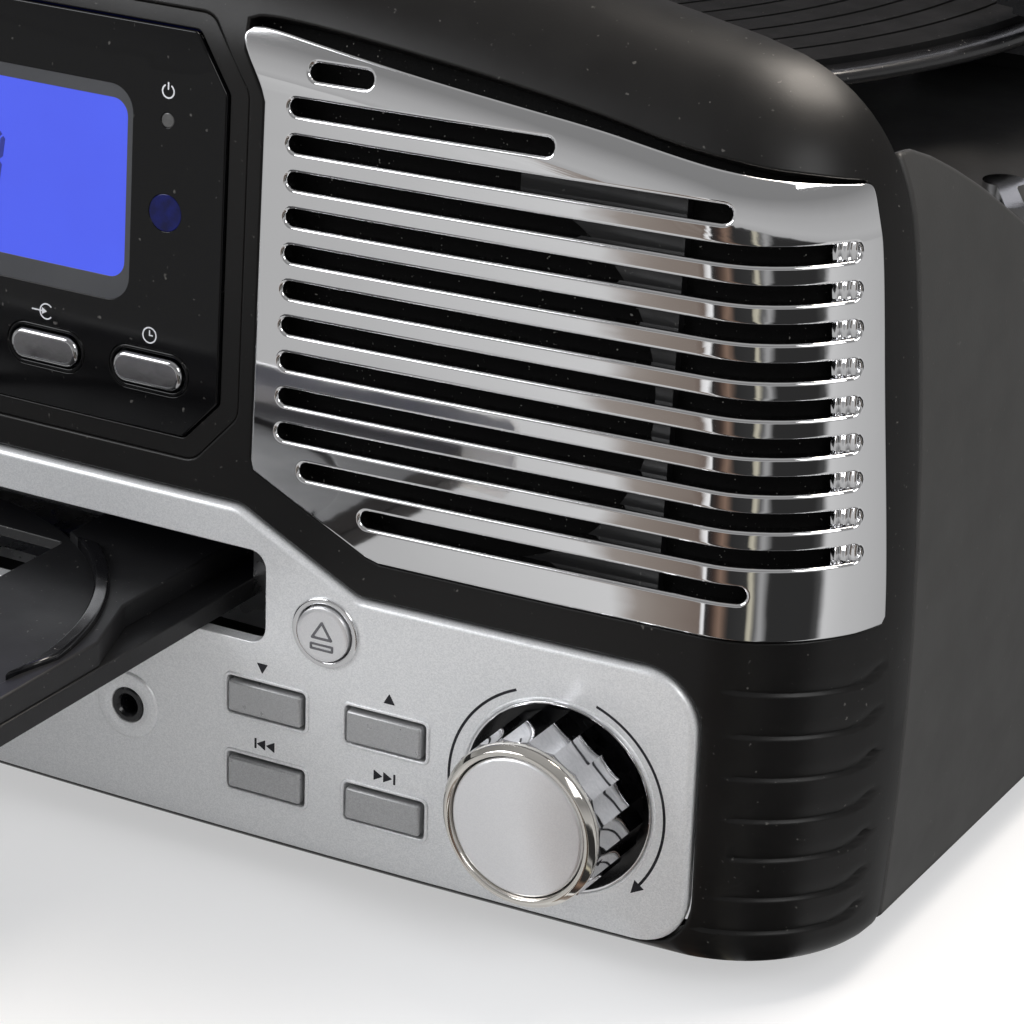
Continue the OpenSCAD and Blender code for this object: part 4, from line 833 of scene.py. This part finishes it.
# symbols over the keys; the words of the real one are left off
keyMarks = dict(
    down=[triangle(76.9, 42.7, 2.1, "down")],
    up=[triangle(102.2, 42.5, 2.1, "up")],
    back=[bar(0.42, 2.0, 0.1, 75.6, 27.75)] + [triangle(x, 27.75, 1.9, "left") for x in (77.0, 78.9)],
    forward=[bar(0.42, 2.0, 0.1, 103.5, 27.75)] + [triangle(x, 27.75, 1.9, "right") for x in (101.9, 100.0)],
    play=[triangle(-101.6, 42.6, 2.2, "right")],
    stop=[bar(1.9, 1.9, 0.1, -77.8, 42.6)],
    list=[bar(3.0, 0.4, 0.1, -101.6, 27.0 + 0.85 * i) for i in range(3)],
    repeat=[arcBand(-77.8, 27.9, 1.05, 0.35, 50, 330, 20), triangle(-76.9, 28.75, 1.1, "right")],
)
for name, loops in keyMarks.items():
    mark("mark_" + name, loops)

# the two arcs round each knob, with an arrowhead at the lower end of each
for s, tag in ((1, "tuning"), (-1, "volume")):
    cx, cz, r = s * dial["arcX"], dial["arcZ"], dial["arcR"]
    loops = [arcBand(cx, cz, r, dial["wide"], a0, a1) for a0, a1 in ((70, -38), (113, 222))]
    for end, turn in ((-38, -90), (222, 90)):
        c = np.array([cx + r * math.cos(math.radians(end)), cz + r * math.sin(math.radians(end))])
        t = np.array([math.cos(math.radians(end + turn)), math.sin(math.radians(end + turn))])
        q = np.array([-t[1], t[0]])
        loops.append([tuple(c + t * 2.0), tuple(c + q * 1.15 - t * 0.5), tuple(c - q * 1.15 - t * 0.5)])
    mark("arc_" + tag, loops)

windowMarks = dict(
    lamp=[arcBand(54.6, 141.3, 1.15, 0.28, 120, 420, 24), bar(0.28, 1.3, 0.05, 54.6, 142.2)],
    clock=[arcBand(52.2, 98.3, 1.35, 0.26, 0, 359.9, 32), bar(0.26, 1.0, 0.05, 52.2, 98.7),
           bar(0.8, 0.26, 0.05, 52.5, 98.3)],
    source=[arcBand(30.6, 98.4, 1.35, 0.26, 40, 320, 28), triangle(30.0, 98.4, 1.2, "right"),
            bar(2.2, 0.26, 0.05, 28.6, 98.4)],
    clock_left=[bar(2.6, 0.3, 0.05, -30.6, 98.4), bar(0.3, 2.6, 0.05, -30.6, 98.4)],
    tone=[bar(0.3, h, 0.05, -52.2 + 0.8 * i, 97.6 + h / 2) for i, h in enumerate((0.9, 1.6, 2.2, 1.4))],
)
for name, loops in windowMarks.items():
    mark("mark_" + name, loops, "paleInk", 0.25)
print("marks made")

# seven-segment clock figures, dark on the blue screen
figures = dict(high=9.2, wide=4.9, line=1.0, slant=0.14, low=119.0, at=[-20.5, -11.5, 4.0, 14.5], show="1200",
               gap=0.25, dots=(121.6, 125.6), dotX=-1.2, dot=1.1)
digits = {"0": "abcdef", "1": "bc", "2": "abged"}
h, w, t = figures["high"], figures["wide"], figures["line"]
ends = {"a": ((0, h), (w, h)), "b": ((w, h / 2), (w, h)), "c": ((w, 0), (w, h / 2)), "d": ((0, 0), (w, 0)),
        "e": ((0, 0), (0, h / 2)), "f": ((0, h / 2), (0, h)), "g": ((0, h / 2), (w, h / 2))}
loops = []
for cx, digit in zip(figures["at"], figures["show"]):
    for segment in digits[digit]:
        a, b = (np.array(end, float) for end in ends[segment])
        d = (b - a) / np.linalg.norm(b - a)
        q = np.array([-d[1], d[0]]) * t / 2
        a, b = a + d * figures["gap"], b - d * figures["gap"]
        pts = [a, a + d * t / 2 - q, b - d * t / 2 - q, b, b - d * t / 2 + q, a + d * t / 2 + q]
        loops.append([(cx + p[0] + p[1] * figures["slant"], figures["low"] + p[1]) for p in pts])
for z in figures["dots"]:
    loops.append(bar(figures["dot"], figures["dot"], 0.2, figures["dotX"] + (z - 119) * figures["slant"], z))
mark("clock_figures", loops, "lcdDark", 0.03)
print("figures made")

# round key: each turned part as (radius, height) from the inside out
at = faceOn(eject["x"], eject["z"], panel["proud"])
ejectRing = turnedPiece("eject_ring", fillet([(5.35, -2.5), (5.35, 0.55), (6.5, 0.55), (6.5, -1.0)],
                                             [0, 0.35, 0.4, 0], 5), 72, "chromeFine", at, sharp=40)
turnedPiece("eject_cap", fillet([(5.05, -2.0), (5.05, 1.15), (4.3, 1.3), (0, 1.42)], [0, 0.3, 0.2, 0], 4), 72,
            "satin", at, sharp=40, body="eject_button_body", stands=["eject_button"])
sign = [(softCorners([(-2.3, -0.9), (2.3, -0.9), (0, 2.7)], 0.25, 3),
         softCorners([(-1.45, -0.42), (1.45, -0.42), (0, 1.85)], 0.1, 2)),
        (bar(4.6, 1.3, 0.2, 0, -2.3), bar(3.8, 0.5, 0.1, 0, -2.3))]
for k, (loop, inside) in enumerate(sign):
    flatPiece("eject_sign_%d" % (k + 1), loop, [inside], "signGrey", at, 1.5, thick=0.3, lip=0.06,
              holeLip=0.05, steps=1, body="eject_button_body")

# the 3.5 mm socket
at = faceOn(port["x"], port["z"], panel["proud"])
turnedPiece("socket_ring", fillet([(3.35, -1.5), (3.35, 0.28), (4.6, 0.62), (6.3, 0.42), (6.6, -0.6)],
                                  [0, 0.25, 0.8, 0.5, 0], 5), 72, "silver", at, sharp=50)
turnedPiece("line_socket", fillet([(1.85, -9), (1.85, -0.2), (2.3, 0.45), (3.25, 0.45), (3.25, -3)],
                                  [0, 0.2, 0.25, 0.3, 0], 4), 60, "socket", at, sharp=45,
            stands=["line_jack"])
turnedPiece("socket_floor", [(0, -7.5), (1.95, -7.4)], 24, "hollow", at)
p, a, b, n = at
flatPiece("socket_spring", roundBox(0.9, 4.5, 0.3, n=3), [], "chromeFine",
          (p + a * 1.15 - n * 3.5, -n, b, -a), thick=0.4, lip=0.15, finish="")

# the USB socket
at = faceOn(-port["x"], port["z"], panel["proud"])
flatPiece("usb_rim", roundBox(16.4, 8.8, 1.6, n=5), [roundBox(13.9, 6.3, 0.7, n=4)], "silver", at, 0.35,
          thick=1.4, lip=0.3, holeLip=0.25)
flatPiece("usb_shell", roundBox(13.7, 6.1, 0.6, n=4), [roundBox(12.3, 4.7, 0.3, n=3)], "chromeFine", at, -0.4,
          thick=12.5, lip=0.2, holeLip=0.15, stands=["usb_socket"], finish="steel")
flatPiece("usb_tongue", bar(11.4, 1.9, 0.15, 0, 1.1), [], "paleInk", at, -1.8, thick=9.5, lip=0.2)
flatPiece("usb_floor", bar(12.6, 5.2, 0.3, 0, 0), [], "hollow", at, -11.5, thick=0.5, lip=0.1)
print("sockets made")

# four oblong chrome keys on the window
for s, row in ((-1, ("pill_clock", "pill_tone")), (1, ("pill_source", "pill_timer"))):
    for x, node in zip(display["pillX"], row):
        at = faceOn(s * x, display["pillZ"])
        flatPiece(node + "_cap", pillBox(-0.2, 0.02), [], "pill", at, 1.15, thick=3.0, lip=0.85, steps=5,
                  body=node + "_body", stands=[node])
        flatPiece("rim_" + node, pillBox(1.9, 0.02), [pillBox(0.5, 0.02)], "window", at, 0.3, thick=1.4,
                  lip=0.3, holeLip=0.25)
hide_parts("button_bezels")
print("oblong keys made")

# the two knobs, with heights from the plane y = 0 outwards
knob = dict(neck=7.6, foot=-7.0, skirt=15.1, flutes=19, turn=12.6, scoop=6.0, deep=0.52, flutedFrom=14,
            face=12.6, well=17.05, wellDeep=4.2)
neck, face, well, deep = knob["neck"], knob["face"], knob["well"], knob["wellDeep"]
foot = knob["foot"]
skirtRows = [(knob["skirt"] - 0.15 * k / 28, foot + (neck - foot) * k / 28) for k in range(29)]
skirtRows += [(knob["skirt"] - 0.4, neck + 0.25), (12.8, neck + 0.3)]
ringRows = [(12.8, -0.2), (14.2, -0.1), (14.6, 0.4), (14.7, 1.6), (13.6, 2.85), (12.85, 2.55), (12.66, 1.8)]
ringRows = fillet([(r, neck + h) for r, h in ringRows], [0, 0.3, 0.6, 1.0, 0.8, 0.3, 0], 6)
low = neck + 1.2
faceRows = [(face - 0.15, low), (face - 0.15, low + 0.85), (face - 0.45, low + 1.15)]
faceRows += [((face - 0.8) * (1 - k / 12), low + 1.22 + 1.3 * math.sin(quarter * k / 12)) for k in range(13)]
wellRows = [(0.0, -deep - 0.1), (12.0, -deep - 0.05), (well, -deep), (well, -0.35)]
beadRows = fillet([(well, -1.2), (well, 0.3), (well + 0.4, 0.3), (well + 0.45, -0.5)], [0, 0.12, 0.12, 0], 4)
collarRows = [(well + 0.5, -0.5), (well + 0.55, 0.22), (18.1, 0.32), (18.25, -0.3)]
collarRows = fillet(collarRows, [0, 0.15, 0.2, 0], 4)


def flute(angle, k):
    # how far the flutes cut into point k of the skirt
    r = skirtRows[k][0]
    step = 2 * math.pi / knob["flutes"]
    off = ((angle - math.radians(knob["turn"])) % step - step / 2) * r
    return -max(0.0, knob["deep"] - off * off / (2 * knob["scoop"])) if r > knob["flutedFrom"] else 0.0


for s, tag in ((1, "tuning"), (-1, "volume")):
    x, z = s * dial["x"], dial["z"]
    at = ((x, 0.0, z), (1, 0, 0), (0, 0, 1), (0, -1, 0))
    turnedPiece("skirt_" + tag, skirtRows, knob["flutes"] * 24, "knobChrome", at, flute, sharp=28,
                body=tag, stands=[tag + "_skirt"])
    turnedPiece("cap_ring_" + tag, ringRows, 160, "ring", at, sharp=55, body=tag, stands=[tag + "_knob"])
    turnedPiece("cap_face_" + tag, faceRows, 128, "satin", at, sharp=60, body=tag)
    # the dark well the skirt turns in, and the fixed collar round it
    at = faceOn(x, z, panel["proud"])
    turnedPiece("knob_well_" + tag, wellRows, 96, "socket", at, sharp=40, finish="black_plastic")
    turnedPiece("bead_" + tag, beadRows, 128, "chromeFine", at, sharp=60)
    turnedPiece("collar_" + tag, collarRows, 128, "silver", at, sharp=50)
print("knobs made")

# disc tray, as it stands open
tray = dict(top=55.9, wide=64.5, narrow=59.0, bendA=-30.0, bendB=-15.0, front=-114.0, back=38.0, well=61.0,
            wellY=-46.0, wellTop=54.2, flangeTop=51.3, flange=64.9, gapX=31.5, gapFrom=-20, gapTo=31)


def trayPiece(name, outer, holes, z, look="tray", **more):
    flatPiece(name, outer, holes, look, ((0, 0, z), (1, 0, 0), (0, 1, 0), (0, 0, 1)), body="tray", **more)


wide, narrow, back = tray["wide"], tray["narrow"], tray["back"]
outer = bothHalves([(wide, tray["front"]), (wide, tray["bendA"]), (narrow, tray["bendB"]), (narrow, back)])
# the well and the opening behind it are one hole in the top
turns = [math.radians(90 - 31.6 - (360 - 63.2) * i / 120) for i in range(121)]
hole = onCircle(0, tray["wellY"], tray["well"], turns) + [(-32.0, 31.0), (32.0, 31.0)]
trayPiece("tray_top", softCorners(outer, [1.5, 1.5, 2, 2, 1, 1, 2, 2], 5), [hole], tray["top"], thick=4.4,
          lip=0.55, holeLip=0.35, stands=["disc_tray"])
gapX, gapFrom = tray["gapX"], tray["gapFrom"]
gap = softCorners(bothHalves([(18, tray["wellY"]), (gapX, gapFrom), (gapX, 4.5)]), [17, 17, 6, 1, 1, 6], 8)
floorRing = ring(0, tray["wellY"], tray["well"] + 0.4, 120)
trayPiece("tray_well", floorRing, [gap], tray["wellTop"], lip=0.1, holeLip=0.3)
flange = softCorners(bothHalves([(tray["flange"], tray["front"] + 0.5), (tray["flange"], back)]), 0.8, 3)
gap = softCorners(bothHalves([(gapX, gapFrom), (gapX, tray["gapTo"])]), 2, 3)
trayPiece("tray_flange", flange, [gap], tray["flangeTop"], thick=3.6, lip=0.3)
# the two raised lips that centre a disc
for s, tag in halves[::-1]:
    loop = arcPoints(0, tray["wellY"], tray["well"] + 2.6, 6, 50, 24)
    loop += arcPoints(0, tray["wellY"], tray["well"] - 0.2, 54, -4, 24)
    trayPiece("tray_lip_" + tag, loop if s > 0 else flip(loop), [], tray["top"] + 1.1, "trayGloss", thick=2.4,
              lip=0.6, steps=4)
# the front of the tray, which fills the slot when it is shut
flatPiece("tray_front", softCorners(bothHalves([(76.7, 47.4), (76.7, 63.6)]), 2.8, 6), [], "silver",
          ((0, tray["front"] + 0.1, 0), (1, 0, 0), (0, 0, 1), (0, -1, 0)), 2.5, thick=2.6, lip=0.6, steps=4,
          body="tray")
print("tray made")

# side panels; the wing is the curved upper edge behind the moulding, as (y, z)
sides = dict(low=9.6, seam=33.35, back=349.4, thick=3.0, lip=1.1, deck=112.0, between=(130.0, 190.0),
             flatFrom=45.0, foot=12.5, footIn=0.05,
             wing=[(33.35, 145.4), (38.4, 144.9), (44.5, 142.4), (51.2, 138.9), (62.0, 132.8), (78.2, 123.0),
                   (92.6, 114.9), (98.5, 112.4)])


def laySide(bm):
    # bends a plate drawn as (y, z) onto the flank, its foot curled in
    co, nn = readPlate(bm)
    y, z = np.maximum(co[:, 0], sides["flatFrom"]), np.maximum(co[:, 1], sides["foot"])
    lo, hi = (np.full(len(y), x) for x in sides["between"])
    p = np.stack([lastInside(lo, hi, 34, lambda x: np.stack([x, y, z], 1)), y, z], 1)
    n = shellNormal(p)
    p[:, 1], p[:, 2] = co[:, 0], co[:, 1]
    p[:, 0] -= np.maximum(0, sides["foot"] - co[:, 1]) ** 2 * sides["footIn"]
    tu = np.tile(np.array([0.0, 1.0, 0.0]), (len(p), 1))
    tv = np.cross(n, tu)
    return p + n * co[:, 2][:, None], unit(tu * nn[:, :1] + tv * nn[:, 1:2] + n * nn[:, 2:])


outline = [(sides["seam"], sides["low"]), (sides["back"], sides["low"]), (sides["back"], sides["deck"])]
outline = softCorners(outline + sides["wing"][::-1], [0.6, 3.0, 3.0, 6.0] + [4.0] * 6 + [1.2], 5)
for s, tag in halves:
    bm = flatPlate(outline, [], sides["thick"], sides["lip"], steps=4)
    sliceBy(bm, [45, 60, 90, 130, 180, 230, 280, 330],
            [12.5, 20, 35, 50, 65, 80, 95, 105, 110, 115, 120, 125, 130, 135, 139, 142])
    makePiece("side_cover_" + tag, bm, "side", *laySide(bm), stands=["side_panel_" + tag], mirror=s < 0)
print("side covers made")

# the CAD pieces that still show get worn-in edges and the look of their finish
dress = dict(edge=0.25, steps=2, angle=35, smooth=30)
lookOf = dict(black_plastic="deck", side_plastic="side", window="window", screen="lcdFrame",
              silver_paint="silver", chrome_trim="chromeFine", satin_silver="satin", key_grey="key",
              rubber="rubber", paper_cone="cone", steel="metal", brass="brass", platter_metal="platter",
              dark_weight="dark", red_plastic="pickup", board="board", socket_plastic="white",
              smoked_clear="lid")
slotOf = {row["node"]: row["material_slot"] for row in frame["record"]["subparts"]}
plainEdges = {"platter_mat", "screws", "dust_cover"}
for name, obj in nodes.items():
    if obj.hide_render:
        continue
    obj.data.materials.clear()
    obj.data.materials.append(looks[lookOf[slotOf[name]]])
    for f in obj.data.polygons:
        f.use_smooth = True
    obj.data.set_sharp_from_angle(angle=math.radians(dress["smooth"]))
    if name not in plainEdges:
        bevel = obj.modifiers.new("edges", "BEVEL")
        bevel.width, bevel.segments, bevel.limit_method = dress["edge"] * 0.001, dress["steps"], "ANGLE"
        bevel.angle_limit, bevel.use_clamp_overlap = math.radians(dress["angle"]), True
        bevel.harden_normals = False
print("plain pieces dressed")

# the camera, with its place in metres and its turns in radians
view = dict(place=(0.3925, -0.4742, 0.3065), yaw=-0.511956, pitch=0.388958, roll=0.0342391, lens=126.64,
            sensor=36.0)
sinYaw, cosYaw = math.sin(view["yaw"]), math.cos(view["yaw"])
w = np.array([sinYaw * math.cos(view["pitch"]), cosYaw * math.cos(view["pitch"]), -math.sin(view["pitch"])])
r = np.array([cosYaw, -sinYaw, 0.0])
u = np.cross(r, w)
right = math.cos(view["roll"]) * r + math.sin(view["roll"]) * u
up = -math.sin(view["roll"]) * r + math.cos(view["roll"]) * u
camData = bpy.data.cameras.new("camera")
camData.lens, camData.sensor_width, camData.clip_start = view["lens"], view["sensor"], 0.01
camera = bpy.data.objects.new("camera", camData)
scene.collection.objects.link(camera)
camera.matrix_world = Matrix([(right[i], up[i], -w[i], view["place"][i]) for i in range(3)] + [(0, 0, 0, 1)])
bpy.context.scene.camera = camera
scene.view_settings.view_transform = "Standard"

# each lamp's place, aim, size, power and tint
light = dict(top=((0.42, 0.62, 1.55), (0.08, 0.12, 0.1), 0.7, 26, (1.0, 0.92, 0.83)),
             front=((-1.25, -1.35, 1.15), (0, -0.05, 0.06), 1.1, 25, (0.97, 0.98, 1.0)),
             right=((1.5, -0.7, 1.3), (0.1, 0.1, 0.05), 0.8, 9, (1.0, 1.0, 1.0)))
for name, (place, aim, size, power, tint) in light.items():
    data = bpy.data.lights.new(name + "_lamp", "AREA")
    data.shape, data.size, data.energy, data.color = "SQUARE", size, power, tint
    lamp = bpy.data.objects.new(name + "_lamp", data)
    scene.collection.objects.link(lamp)
    lamp.location = place
    lamp.rotation_euler = (Vector(aim) - Vector(place)).to_track_quat("-Z", "Y").to_euler()


def rampOf(tree, value, stops):
    ramp = tree.nodes.new("ShaderNodeValToRGB")
    tree.links.new(value, ramp.inputs["Fac"])
    held = ramp.color_ramp.elements
    for k, (place, colour) in enumerate(stops):
        stop = held[0] if k == 0 else held[-1] if k == len(stops) - 1 else held.new(place)
        stop.position = place
        stop.color = (*(colour if isinstance(colour, tuple) else (colour,) * 3), 1)
    return ramp.outputs["Color"]


def sums(tree, kind, a, b):
    # one step of arithmetic on numbers or sockets
    m = tree.nodes.new("ShaderNodeMath")
    m.operation = kind
    for k, value in enumerate((a, b)):
        if isinstance(value, (int, float)):
            m.inputs[k].default_value = value
        else:
            tree.links.new(value, m.inputs[k])
    return m.outputs[0]


def mixOf(tree, fac, first, second):
    mix = tree.nodes.new("ShaderNodeMixShader")
    for socket, value in zip(mix.inputs, (fac, first, second)):
        tree.links.new(value, socket)
    return mix.outputs["Shader"]


def glowOf(tree, kind, colour):
    # a background or emission node, with a plain colour or one from a socket
    node = tree.nodes.new(kind)
    if isinstance(colour, tuple):
        node.inputs["Color"].default_value = (*colour, 1)
    else:
        tree.links.new(colour, node.inputs["Color"])
    return node.outputs[0]


# the room: plain for the camera and through the lid, even light on matt parts, bands of grey in bright ones
room = dict(ambient=(0.62, 0.62, 0.62), backdrop=(0.97, 0.97, 0.975),
            sky=[(0.0, 0.3), (0.47, 0.40), (0.51, 0.50), (0.58, 0.42), (0.66, 0.24), (0.82, 0.26),
                 (1.0, 0.42)])
world = bpy.data.worlds.new("studio")
scene.world = world
world.use_nodes = True
tree = world.node_tree
split = tree.nodes.new("ShaderNodeSeparateXYZ")
tree.links.new(tree.nodes.new("ShaderNodeTexCoord").outputs["Generated"], split.inputs["Vector"])
height = sums(tree, "ADD", sums(tree, "MULTIPLY", split.outputs["Z"], 0.5), 0.5)
sky = tree.nodes["Background"]
sky.inputs["Strength"].default_value = 1.0
tree.links.new(rampOf(tree, height, room["sky"]), sky.inputs["Color"])
even = glowOf(tree, "ShaderNodeBackground", room["ambient"])
plain = glowOf(tree, "ShaderNodeBackground", room["backdrop"])
path = tree.nodes.new("ShaderNodeLightPath").outputs
shown = mixOf(tree, path["Is Glossy Ray"], even, sky.outputs["Background"])
shown = mixOf(tree, path["Is Camera Ray"], shown, plain)
shown = mixOf(tree, path["Is Transmission Ray"], shown, plain)
tree.links.new(shown, tree.nodes["World Output"].inputs["Surface"])

# the floor is plain white; in the chrome it stands for the things on and past the table, told apart by
# their bearing in degrees from the cabinet's corner
bearing = dict(at=(0.158, 0.03), waver=0.022, waves=9.0, waveDetail=4.0, fadeFrom=0.45, fade=0.9, near=0.5,
               stops=[(-180, 0.26), (-80, 0.40), (-50, 0.50), (-33, 0.52), (-20.8, 0.70),
                      (-19.6, (0.30, 0.26, 0.23)), (-13.4, (0.16, 0.12, 0.10)), (-12.5, 0.98),
                      (-10.9, 0.98), (-10.0, 0.03), (-5, (0.05, 0.035, 0.03)), (0, (0.24, 0.16, 0.12)),
                      (5, 0.03), (17, 0.04), (19, (0.7, 0.66, 0.52)), (22, 0.08), (26, 0.4), (31, 0.03),
                      (56, 0.03), (61, 0.08), (65, 0.66), (80, 0.56), (120, 0.42), (180, 0.26)])
floorMesh = bpy.data.meshes.new("floor")
bm = bmesh.new()
bmesh.ops.create_grid(bm, x_segments=2, y_segments=2, size=4.0)
bm.to_mesh(floorMesh)
bm.free()
floor = bpy.data.objects.new("floor", floorMesh)
scene.collection.objects.link(floor)
floorLook = makeLook("floor_white", (0.86, 0.865, 0.88), rough=0.7, spec=0.2,
                     mottle=(400, (0.875, 0.88, 0.89)))
floorMesh.materials.append(floorLook)
tree = floorLook.node_tree
link = tree.links.new
where = tree.nodes.new("ShaderNodeTexCoord").outputs["Object"]
wave = tree.nodes.new("ShaderNodeTexNoise")
link(where, wave.inputs["Vector"])
wave.inputs["Scale"].default_value = bearing["waves"]
wave.inputs["Detail"].default_value = bearing["waveDetail"]
split = tree.nodes.new("ShaderNodeSeparateXYZ")
link(where, split.inputs["Vector"])
dx = sums(tree, "SUBTRACT", split.outputs["X"], bearing["at"][0])
dy = sums(tree, "SUBTRACT", bearing["at"][1], split.outputs["Y"])
angle = sums(tree, "DIVIDE", sums(tree, "ARCTAN2", dx, dy), math.pi * 2)
angle = sums(tree, "ADD", angle, 0.5)
shake = sums(tree, "MULTIPLY", sums(tree, "SUBTRACT", wave.outputs["Fac"], 0.5), bearing["waver"])
around = rampOf(tree, sums(tree, "ADD", angle, shake), [((a + 180) / 360, c) for a, c in bearing["stops"]])
path = tree.nodes.new("ShaderNodeLightPath").outputs
through = path["Is Transmission Ray"]
mirrored = sums(tree, "MULTIPLY", path["Is Glossy Ray"], sums(tree, "SUBTRACT", 1.0, through))
shown = mixOf(tree, mirrored, tree.nodes["Principled BSDF"].outputs["BSDF"],
              glowOf(tree, "ShaderNodeEmission", around))
# with distance the floor fades into the backdrop
far = tree.nodes.new("ShaderNodeVectorMath")
far.operation = "LENGTH"
link(where, far.inputs[0])
away = sums(tree, "SUBTRACT", far.outputs["Value"], bearing["fadeFrom"])
away = sums(tree, "MULTIPLY", away, bearing["fade"])
away = sums(tree, "MAXIMUM", sums(tree, "ADD", away, bearing["near"]), bearing["near"])
away = sums(tree, "MINIMUM", away, 1.0)
seen = sums(tree, "MULTIPLY", sums(tree, "MAXIMUM", path["Is Camera Ray"], through), away)
shown = mixOf(tree, seen, shown, glowOf(tree, "ShaderNodeEmission", room["backdrop"]))
link(shown, [n for n in tree.nodes if n.type == "OUTPUT_MATERIAL"][0].inputs["Surface"])
print("camera, light and floor made")
